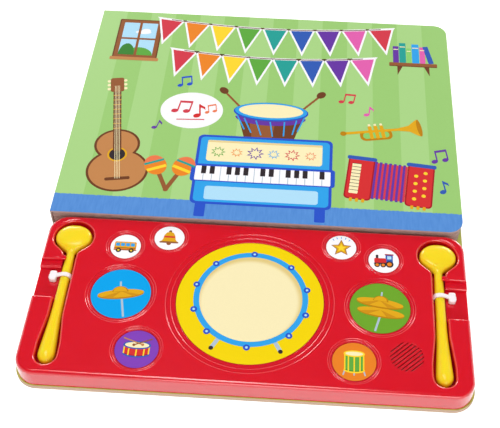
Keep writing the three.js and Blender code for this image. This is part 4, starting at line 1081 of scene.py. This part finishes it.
run_tree(slot_cut, grille, {"Count": GRILLE_COUNT, "Pitch": GRILLE_PITCH, "Reach": GRILLE_R + OVER,
                            "Angle": GRILLE_ANGLE, "Place": (*SPEAKER_AT, 0.0), "Finish": red_plastic})
bottom, top = SHELL_UNDER - 2 * OVER, SHELL_TOP + 2 * OVER
limit = [(0, bottom), (GRILLE_R, bottom), (GRILLE_R, top), (0, top)]
combine(slot_cut, turned("grille_round", limit, *SPEAKER_AT, round_sides(GRILLE_R)), "INTERSECT")
combine(shell, slot_cut, "DIFFERENCE")
smooth(shell, 35)
shell.data.materials.clear()
shell.data.materials.append(red_plastic)
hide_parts("module_shell")
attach(shell, "root")

# Domes
# One silicone dome under each pad. It carries the stem of the cap and springs it back up. The real
# dome flattens when the pad is pressed; this one is a fixed solid that keeps its shape.
DOME_SKIN = 0.5 * MM
DOME_TOP_SHARE = 0.45
DOME_WALL_SHARE = 0.75
silicone = surface("silicone", srgb(200, 200, 196), 0.55, spread=0.04, grain=300, bump=0.1)
for pad in PADS:
    low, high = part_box(pad + "_dome")
    x, y = (low.x + high.x) / 2, (low.y + high.y) / 2
    r = (high.x - low.x) / 2
    top_r, wall_r = DOME_TOP_SHARE * r, DOME_WALL_SHARE * r
    roof, foot = high.z - DOME_SKIN, low.z + DOME_SKIN
    inside_wall = [(0, roof), (top_r - DOME_SKIN, roof), (wall_r - DOME_SKIN, low.z)]
    outside_wall = [(r, low.z), (r, foot), (wall_r, foot), (top_r, high.z), (0, high.z)]
    dome = turned(pad + "_dome_silicone", inside_wall + outside_wall, x, y, 48)
    smooth(dome)
    dome.data.materials.append(silicone)
    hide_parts(pad + "_dome")
    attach(dome, "root")
    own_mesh(dome)

# Pads
# Nine moulded caps, each pushed up against the shell by a silicone dome. A printed film is glued on
# top, and the film and a thin red edge of the cap show.
FILM_BACK = 0.25 * MM
FILM_EDGE = 0.06 * MM
FILM_COLORS = {"main_drum": (242, 211, 0), "cymbal_left": (0, 163, 235), "cymbal_right": (110, 166, 44),
               "drum_left": (130, 66, 184), "drum_right": (234, 130, 36)}
BUTTON_WHITE = (254, 250, 255)
FILM_SLOTS = {"main_drum": "label_yellow", "cymbal_left": "label_blue", "cymbal_right": "label_green",
              "drum_left": "label_purple", "drum_right": "label_orange"}
for pad in PADS:
    dress(pad + "_pad", red_plastic)
    x, y, r, low, high = pad_places[pad]
    r -= FILM_BACK
    high -= PRINT_T
    disc = [(0, low), (r, low), (r, high - FILM_EDGE), (r - FILM_EDGE, high), (0, high)]
    film = turned(pad + "_film", disc, x, y, round_sides(r))
    smooth(film)
    film.data.materials.append(ink(pad + "_film_ink", FILM_COLORS.get(pad, BUTTON_WHITE)))
    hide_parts(pad + "_label")
    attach(film, pad)
    FILM_SLOTS.get(pad, "label_white")

# Printed pictures on the pads
# Simple pictures of instruments and toys in flat inks. The large one is a drum head seen from
# above, with its hoop, its lugs and two short legs.
HEAD_AT = (0.4, 2.1)
HEAD_R = 31.7
HOOP_R = 35.3
LUG_ANGLES = (90, 48, 15, -16, -46, -90, -134, -164, 165, 132)
LUG_R = 2.1
SKIN_SHADE_W = 3.2
SKIN_SHADE_SHIFT = (0.7, 2.2)

inks["drum_skin"] = ink("drum_skin", (246, 233, 184))
tree = inks["drum_skin"].node_tree
drum_x, drum_y = pad_places["main_drum"][:2]
shade_x = drum_x + (HEAD_AT[0] - SKIN_SHADE_SHIFT[0]) * MM
shade_y = drum_y + (HEAD_AT[1] - SKIN_SHADE_SHIFT[1]) * MM
edge_shade = add_node(tree, "ShaderNodeMapRange", {
    "From Min": (HEAD_R - SKIN_SHADE_W) * MM, "From Max": (HEAD_R + 0.6) * MM,
    "Value": flat_distance(tree, shade_x, shade_y),
}, interpolation_type="SMOOTHSTEP")
shaded_skin = mix_colors(tree, edge_shade.outputs[0], plain_color(inks["drum_skin"]), srgb(226, 202, 132))
feed(shader_of(inks["drum_skin"]), {"Base Color": shaded_skin})

drum_head = [("sky", circle(*HEAD_AT, HOOP_R, 96), 2), ("drum_skin", circle(*HEAD_AT, HEAD_R, 96), 3)]
for leg in (-1, 1):
    drum_head += [("grey", bar(leg * 16.8, -28.4, leg * 20.4, -34.8, 2.6), 1),
                  ("dark", circle(leg * 20.6, -35.2, 1.4, 20), 2)]
for angle in LUG_ANGLES:
    a = math.radians(angle)
    lug_x = HEAD_AT[0] + (HOOP_R + 0.2) * math.cos(a)
    lug_y = HEAD_AT[1] - 0.8 + (HOOP_R - 0.4) * math.sin(a)
    drum_head += [("deep_blue", circle(lug_x, lug_y, LUG_R, 28), 4),
                  ("pale_blue", circle(lug_x, lug_y, 0.8, 16), 5)]


def wedge(cx, cy, rx, ry, tilt, start, end):
    """A field of shade that runs from the bell of a cymbal to its rim."""
    rim = [p for k, p in enumerate(oval(cx, cy, rx, ry, 72, tilt)) if start <= 5 * k <= end]
    return [(cx, cy + 1.6)] + rim


single_cymbal = [
    ("grey", bar(1.0, -3, 4.0, -17, 1.3), 1), ("grey", bar(-0.4, 2, -1.4, 9, 1.2), 1),
    ("gold_dark", oval(0, -0.7, 14.2, 3.4, 48, 9), 2), ("gold", oval(0, 0, 14.2, 3.0, 48, 9), 3),
    ("gold_shade", wedge(0, 0, 14.0, 2.8, 9, 215, 250), 3),
    ("gold_shade", wedge(0, 0, 14.0, 2.8, 9, 300, 325), 3),
    ("gold_dark", arch(-0.4, 1.2, 5.0, 4.2, 8, 188), 4), ("gold", arch(-0.6, 1.4, 4.2, 3.6, 8, 188), 5),
]
cymbal_pair = [
    ("grey", bar(0.2, -5, -3.2, -17, 1.3), 1), ("grey", bar(0.8, 7, 1.4, 12, 1.1), 1),
    ("gold_dark", oval(0.4, -3.6, 14.4, 3.4, 48, -8), 2), ("gold", oval(0.4, -3.0, 14.4, 3.0, 48, -8), 3),
    ("gold_shade", wedge(0.4, -3.0, 14.2, 2.8, -8, 205, 240), 3),
    ("gold_shade", wedge(0.4, -3.0, 14.2, 2.8, -8, 285, 315), 3),
    ("gold_dark", oval(0, 3.2, 14.4, 3.4, 48, -8), 4), ("gold", oval(0, 3.9, 14.4, 3.0, 48, -8), 5),
    ("gold_shade", wedge(0, 3.9, 14.2, 2.8, -8, 215, 245), 5),
    ("gold_shade", wedge(0, 3.9, 14.2, 2.8, -8, 290, 320), 5),
    ("gold_dark", arch(0.4, 5.0, 4.8, 4.0, -8, 172), 6), ("gold", arch(0.2, 5.2, 4.0, 3.4, -8, 172), 7),
]


def drum_picture(width, height, wall, wall_dark, hoop, lugs, lift=0):
    """A drum seen a little from above."""
    half = width / 2
    tilt = width * 0.16
    top, low = height / 2, -height / 2
    shapes = [(hoop, oval(0, low - 0.5, half + 0.4, tilt + 0.2), 1 + lift),
              (wall_dark, oval(0, low + 0.3, half, tilt), 2 + lift),
              (wall, [(-half, low + 0.6), (half, low + 0.6), (half, top), (-half, top)], 3 + lift),
              (wall, oval(0, low + 0.9, half, tilt), 3 + lift),
              (hoop, oval(0, top, half + 0.5, tilt + 0.4), 5 + lift),
              ("cream", oval(0, top, half - 0.6, tilt - 0.5), 6 + lift)]
    for k in range(lugs):
        x = half * math.sin(math.radians(-72 + 144 * k / (lugs - 1)))
        dip = tilt * math.sqrt(1 - (x / half) ** 2)
        shapes.append(("yellow", bar(x, low - dip + 0.2, x, top - dip - 0.2, 0.8), 4 + lift))
    return shapes


snare = drum_picture(15.5, 5.4, "red", "red_dark", "blue", 5)
snare += [("brown_light", bar(-8.6, 7.4, 3.0, 3.2, 0.8), 7), ("brown_light", circle(3.2, 3.1, 0.9, 16), 7),
          ("brown_mid", bar(8.6, 7.4, -1.8, 2.8, 0.8), 8), ("brown_mid", circle(-2.0, 2.7, 0.9, 16), 8)]
tom = [("grey", bar(x, -5, x * 1.25, -9.4, 0.8), 1) for x in (-5.2, 0, 5.2)]
tom += drum_picture(11.6, 10.6, "green", "green_dark", "yellow", 5, 1)

bus = [("orange", rounded(-7.2, -2.8, 6.8, 3.8, 1.0), 1), ("gold", rounded(-7.0, -1.0, 6.6, 3.6, 0.9), 2),
       ("brown", bar(-7.2, -1.2, 6.8, -1.2, 0.4), 3), ("brown_mid", rounded(-7.4, -3.2, 7.2, -2.4, 0.4), 3)]
bus += [("sky", rounded(-6.4 + 3.2 * k, 0.2, -3.9 + 3.2 * k, 2.7, 0.4), 3) for k in range(4)]
for x in (-4.2, 4.0):
    bus += [("dark", circle(x, -3.2, 1.7, 24), 4), ("yellow", circle(x, -3.2, 0.7, 16), 5)]
bell = [("brown_mid", circle(0, -4.3, 1.5, 20), 1), ("brown", circle(0, 5.5, 1.0, 16), 1),
        ("gold", [(-5.6, -3.4), (5.6, -3.4), (4.1, -1.2), (3.5, 2.2), (2.2, 4.4), (0, 5.2), (-2.2, 4.4),
                  (-3.5, 2.2), (-4.1, -1.2)], 2),
        ("brown_mid", rounded(-6.1, -4.1, 6.1, -2.8, 0.6), 3),
        ("red", rounded(-3.6, 0.3, 3.6, 1.6, 0.5), 3)]
toy_star = [("brown_mid", star(0, -0.5, 6.9, 3.2, 5), 1), ("gold", star(0, -0.5, 5.8, 2.6, 5), 2),
            ("yellow", star(0, -0.5, 3.4, 1.5, 5), 3)]
for angle in (50, 70, 90, 110, 130):
    a = math.radians(angle)
    across, along = math.cos(a), math.sin(a)
    toy_star.append(("sky", bar(7.2 * across, 7.0 * along, 8.7 * across, 8.5 * along, 0.5), 1))
engine = [
    ("blue", rounded(1.2, -2.0, 5.8, 4.8, 0.5), 1), ("pale_blue", rounded(2.2, 1.2, 4.9, 3.7, 0.3), 2),
    ("red", rounded(-6.0, -2.0, 1.6, 1.8, 0.9), 2), ("dark", rounded(-5.0, 1.6, -3.4, 4.4, 0.2), 1),
    ("red_dark", rounded(0.7, 4.4, 6.3, 5.3, 0.3), 3), ("dark", rounded(-6.2, -2.9, 6.2, -1.9, 0.2), 3),
]
for x, r in ((-4.2, 1.8), (-0.4, 1.8), (3.6, 2.5)):
    engine += [("dark", circle(x, -5.4 + r, r, 28), 4), ("orange", circle(x, -5.4 + r, r * 0.6, 20), 5)]
pictures = {"main_drum": drum_head, "cymbal_left": single_cymbal, "cymbal_right": cymbal_pair,
            "drum_left": snare, "drum_right": tom, "button_1": bus, "button_2": bell,
            "button_3": toy_star, "button_4": engine}
for pad, shapes in pictures.items():
    x, y, _, _, high = pad_places[pad]
    lay_ink(pad + "_print", shapes, x, y, high - PRINT_T, pad, FILM_SLOTS.get(pad, "label_white"))

# Mallets
# Two one-piece mouldings in glossy yellow plastic: a flat-topped round head like a thick button, a
# slim neck and a handle that swells to a round end.
MALLET_X = 117.2
MALLET_HEAD_Y = 43.1
MALLET_TIP_Y = -50.5
BULB_LENGTH = 6.5
BULB_HALF_W = 5.2
BULB_HALF_T = 4.5
HEAD_HALF_W = 11.65
HEAD_HALF_T = 5.2
HEAD_NOSE = 9.6
HEAD_SQUARE = 3.4
HEAD_CROWN = 0.45
TIP_HALF = 0.05
NOSE_HALF_T = 0.6
BULB_Y = MALLET_TIP_Y + BULB_LENGTH
HANDLE_SECTIONS = [
    (BULB_Y, BULB_HALF_W, BULB_HALF_T, 2), (BULB_Y + 8, 4.7, 4.1, 2), (-20, 3.6, 3.2, 2), (0, 3.05, 2.7, 2),
    (18, 3.0, 2.7, 2),
]
NECK_SECTIONS = [
    (14, 2.6, 2.4, 2), (11.6, 3.0, 2.5, 2), (10, 4.3, 3.1, 2.3), (8.6, 6.3, 4.0, 2.8), (6.8, 8.7, 4.7, 3.2),
    (4.2, 10.7, 5.1, HEAD_SQUARE), (2, 11.45, HEAD_HALF_T, HEAD_SQUARE),
    (0, HEAD_HALF_W, HEAD_HALF_T, HEAD_SQUARE),
]
SECTIONS = HANDLE_SECTIONS + [(MALLET_HEAD_Y - before, *size) for before, *size in NECK_SECTIONS]


def between(rows, t):
    """A point on the smooth curve through the rows, t from 0 to 1."""
    at = t * (len(rows) - 1)
    i = min(int(at), len(rows) - 2)
    w = at - i
    before, start, end, after = rows[max(i - 1, 0)], rows[i], rows[i + 1], rows[min(i + 2, len(rows) - 1)]
    out = []
    for p0, p1, p2, p3 in zip(before, start, end, after):
        cubic = 3 * (p1 - p2) + p3 - p0
        square = 2 * p0 - 5 * p1 + 4 * p2 - p3
        out.append(p1 + 0.5 * w * (p2 - p0 + w * (square + w * cubic)))
    return out


def power(value, exponent):
    return math.copysign(abs(value) ** exponent, value)


yellow_plastic = surface("yellow_plastic", srgb(252, 220, 34), 0.22, spread=0.02, grain=80,
                         rough_spread=0.03, specular=0.4)
feed(shader_of(yellow_plastic), {
    "Subsurface Weight": 0.5, "Subsurface Radius": (1.0, 0.5, 0.05), "Subsurface Scale": 2 * MM,
})
for name, side in (("left", -1), ("right", 1)):
    stations = [(MALLET_TIP_Y, TIP_HALF, TIP_HALF, 2)]
    for k in range(1, 11):
        a = math.radians(9 * k)
        swell = math.sin(a)
        stations.append((BULB_Y - BULB_LENGTH * math.cos(a), BULB_HALF_W * swell, BULB_HALF_T * swell, 2))
    stations += [between(SECTIONS, k / 100) for k in range(1, 101)]
    for k in range(1, 18):
        a = math.radians(5 * k)
        stations.append((MALLET_HEAD_Y + HEAD_NOSE * math.sin(a), HEAD_HALF_W * math.cos(a),
                         HEAD_HALF_T * math.cos(a) ** HEAD_CROWN, HEAD_SQUARE))
    stations.append((MALLET_HEAD_Y + HEAD_NOSE, TIP_HALF, NOSE_HALF_T, 2))
    rings = []
    for y, half_w, half_t, square in stations:
        ring = []
        for i in range(48):
            a = 2 * math.pi * i / 48
            x = side * MALLET_X + half_w * power(math.cos(a), 2 / square)
            z = MALLET_Z - half_t * MM * power(math.sin(a), 2 / square)
            ring.append((x * MM, MODULE_Y + y * MM, z))
        rings.append(ring)
    mallet = loft(f"mallet_{name}_moulding", rings)
    smooth(mallet, 80, weighted=False)
    mallet.data.materials.append(yellow_plastic)
    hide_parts(f"mallet_{name}")
    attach(mallet, "root")

# Cable ties
# Natural nylon ties, each pulled round the stick and through the slot's floor. The locking head
# stands in the finger notch with the cut end of the strap beside it.
TIE_LOW, TIE_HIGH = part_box("cable_tie_right")
TIE_Y = (TIE_LOW.y + TIE_HIGH.y) / 2
TIE_HALF_W = 1.3 * MM
TIE_T = 0.9 * MM
TIE_HEAD = (4.4 * MM, 7 * MM, 3.6 * MM)
TIE_FOOT = 6.75
STRAP = [(7.0, TIE_FOOT), (7.0, 10.6), (6.5, 12.3), (5.0, 13.3), (2.8, 14.3), (0.9, 14.85), (-1.0, 14.75),
         (-2.7, 13.8), (-3.6, 12.3), (-3.8, 10.6), (-3.8, 8.2), (-3.5, 7.0), (-2.4, TIE_FOOT),
         (2, TIE_FOOT)]
STRAP_POINT_GAP = 0.6 * MM
HEAD_SHIFT = 7.5
TAIL_SHIFT = 9.7
HEAD_EDGE = 0.5 * MM
HEAD_FOOT = 0.4 * MM
HEAD_GAP = 0.1 * MM
TAIL_LOW = 1.1 * MM
TAIL_HIGH = 2.1 * MM

nylon = surface("nylon", srgb(254, 243, 246), 0.35, spread=0.02, grain=300, bump=0.1)
feed(shader_of(nylon), {
    "Subsurface Weight": 0.5, "Subsurface Radius": (1.0, 0.9, 0.9), "Subsurface Scale": 1.0 * MM,
})

strap_tree, given, result = size_tree("strap_sweep", {
    "Width": "Float", "Thickness": "Float", "Point gap": "Float", "Finish": "Material",
})
path = add_node(strap_tree, "GeometryNodeMeshToCurve", {"Mesh": given.outputs["Geometry"]})
bent = add_node(strap_tree, "GeometryNodeCurveSplineType", {"Curve": path}, spline_type="CATMULL_ROM")
even = add_node(strap_tree, "GeometryNodeResampleCurve", {
    "Curve": bent, "Length": given.outputs["Point gap"],
}, mode="LENGTH")
section = add_node(strap_tree, "GeometryNodeCurvePrimitiveQuadrilateral", {
    "Width": given.outputs["Width"], "Height": given.outputs["Thickness"],
}, mode="RECTANGLE")
sweep = add_node(strap_tree, "GeometryNodeCurveToMesh", {"Curve": even, "Profile Curve": section})
end_tree(strap_tree, sweep.outputs[0], given, result)

for name, side in (("left", -1), ("right", 1)):
    strap_mesh = bpy.data.meshes.new(f"cable_tie_{name}_nylon")
    loop = [(side * (MALLET_X + u) * MM, TIE_Y, z * MM) for u, z in STRAP]
    strap_mesh.from_pydata(loop, [(i, (i + 1) % len(loop)) for i in range(len(loop))], [])
    strap = bpy.data.objects.new(f"cable_tie_{name}_nylon", strap_mesh)
    bpy.context.scene.collection.objects.link(strap)
    run_tree(strap, strap_tree, {"Width": 2 * TIE_HALF_W, "Thickness": TIE_T,
                                 "Point gap": STRAP_POINT_GAP, "Finish": nylon})
    turn_outwards(strap)
    width, depth, tall = TIE_HEAD
    head_x = side * (MALLET_X + HEAD_SHIFT) * MM
    head_low = NOTCH_FLOOR + HEAD_GAP
    head = plate("tie_head", head_x - width / 2, head_x + width / 2, TIE_Y - depth / 2, TIE_Y + depth / 2,
                 [1.2 * MM] * 4, [(head_low, HEAD_FOOT), (head_low + HEAD_FOOT, 0),
                                  (head_low + tall - HEAD_EDGE, 0), (head_low + tall, HEAD_EDGE)], 4)
    tail_x = side * (MALLET_X + TAIL_SHIFT) * MM
    tail = plate("tie_tail", tail_x - 0.6 * MM, tail_x + 0.5 * MM, TIE_Y - TIE_HALF_W, TIE_Y + TIE_HALF_W,
                 [0.2 * MM] * 4, [(head_low + TAIL_LOW, 0), (head_low + TAIL_HIGH, 0)], 3)
    combine(strap, head, "UNION")
    combine(strap, tail, "UNION")
    smooth(strap, 40)
    strap.data.materials.clear()
    strap.data.materials.append(nylon)
    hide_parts(f"cable_tie_{name}")
    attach(strap, "root")

# Camera
# It stands above and in front of the drum module and looks down on the book. Its place and its
# shift come from the round pads and the straight edges of the photograph.
AZIMUTH = math.radians(2.58)
ELEVATION = math.radians(51.42)
ROLL = math.radians(1.11)
DISTANCE = 603.2 * MM
TARGET = Vector((10 * MM, MODULE_Y + 45.9 * MM, 15 * MM))
level = math.cos(ELEVATION)
back = Vector((math.sin(AZIMUTH) * level, -math.cos(AZIMUTH) * level, math.sin(ELEVATION)))
camera_data = bpy.data.cameras.new("camera")
camera_data.lens = 67.5
camera_data.sensor_width = 36
camera_data.shift_x = -0.0414
camera_data.shift_y = 0.0586
camera = bpy.data.objects.new("camera", camera_data)
turn = back.to_track_quat("Z", "Y").to_matrix().to_4x4()
turn.translation = TARGET + back * DISTANCE
camera.matrix_world = turn
camera.rotation_euler.rotate_axis("Z", ROLL)
bpy.context.scene.collection.objects.link(camera)
bpy.context.scene.camera = camera
bpy.context.scene.view_settings.view_transform = "Standard"

# Light
# A bright plain studio: soft boxes overhead, in front and at both sides behind, an even room, and a
# white backdrop that the glossy plastic mirrors near the horizon.
ROOM_LIGHT = 0.46
MIDDLE = Vector((0, -0.03, 0.015))


def soft_box(name, place, width, height, power):
    data = bpy.data.lights.new(name, "AREA")
    data.shape = "RECTANGLE"
    data.size = width
    data.size_y = height
    data.energy = power
    lamp = bpy.data.objects.new(name, data)
    lamp.location = place
    lamp.rotation_euler = (Vector(place) - MIDDLE).to_track_quat("Z", "Y").to_euler()
    bpy.context.scene.collection.objects.link(lamp)


soft_box("light_top", (-0.12, -0.1, 1.1), 0.7, 0.4, 4.9)
soft_box("light_back_left", (-0.58, 1.08, 0.42), 0.4, 0.35, 3.4)
soft_box("light_back_right", (0.58, 1.08, 0.42), 0.4, 0.35, 4.0)
soft_box("light_front", (0.25, -1.2, 0.5), 1.0, 0.5, 5.0)

world = bpy.data.worlds.new("room")
bpy.context.scene.world = world
world.use_nodes = True
tree = world.node_tree
tree.nodes.clear()
room = add_node(tree, "ShaderNodeBackground", {"Strength": ROOM_LIGHT, "Color": (1, 1, 1, 1)})
backdrop = add_node(tree, "ShaderNodeBackground", {"Color": (1, 1, 1, 1)})
direction = add_node(tree, "ShaderNodeTexCoord")
height = add_node(tree, "ShaderNodeSeparateXYZ", {0: direction.outputs["Generated"]})
fade = add_node(tree, "ShaderNodeMapRange", {
    "From Min": math.sin(math.radians(14)), "From Max": math.sin(math.radians(44)), "To Min": 1.0,
    "To Max": 0.06, "Value": height.outputs["Z"],
}, interpolation_type="SMOOTHSTEP")
mirrored = add_node(tree, "ShaderNodeBackground", {"Color": (1, 1, 1, 1), "Strength": fade})
rays = add_node(tree, "ShaderNodeLightPath")
glossy = add_node(tree, "ShaderNodeMixShader", {0: rays.outputs["Is Glossy Ray"], 1: room, 2: mirrored})
seen = add_node(tree, "ShaderNodeMixShader", {0: rays.outputs["Is Camera Ray"], 1: glossy, 2: backdrop})
add_node(tree, "ShaderNodeOutputWorld", {"Surface": seen})

# Floor
# White paper under the book. The camera and the gloss see it near white, and it still takes the
# shadow of the book.
FLOOR_HALF = 4.0
FLOOR_Z = -0.05 * MM
FLOOR_GLOW = 0.7
corners = [(x * FLOOR_HALF, y * FLOOR_HALF, FLOOR_Z) for x, y in ((-1, -1), (1, -1), (1, 1), (-1, 1))]
floor = new_object("floor", corners, [(0, 1, 2, 3)])
floor_paper = bpy.data.materials.new("floor_paper")
floor_paper.use_nodes = True
tree = floor_paper.node_tree
tree.nodes.clear()
paper = add_node(tree, "ShaderNodeBsdfDiffuse", {"Color": (0.8, 0.8, 0.8, 1)})
glow = add_node(tree, "ShaderNodeEmission", {"Strength": FLOOR_GLOW})
rays = add_node(tree, "ShaderNodeLightPath")
shown = calculate(tree, "MAXIMUM", rays.outputs["Is Camera Ray"], rays.outputs["Is Glossy Ray"])
lit = add_node(tree, "ShaderNodeAddShader", {0: paper, 1: glow})
choose = add_node(tree, "ShaderNodeMixShader", {0: shown, 1: paper, 2: lit})
add_node(tree, "ShaderNodeOutputMaterial", {"Surface": choose})
floor.data.materials.append(floor_paper)
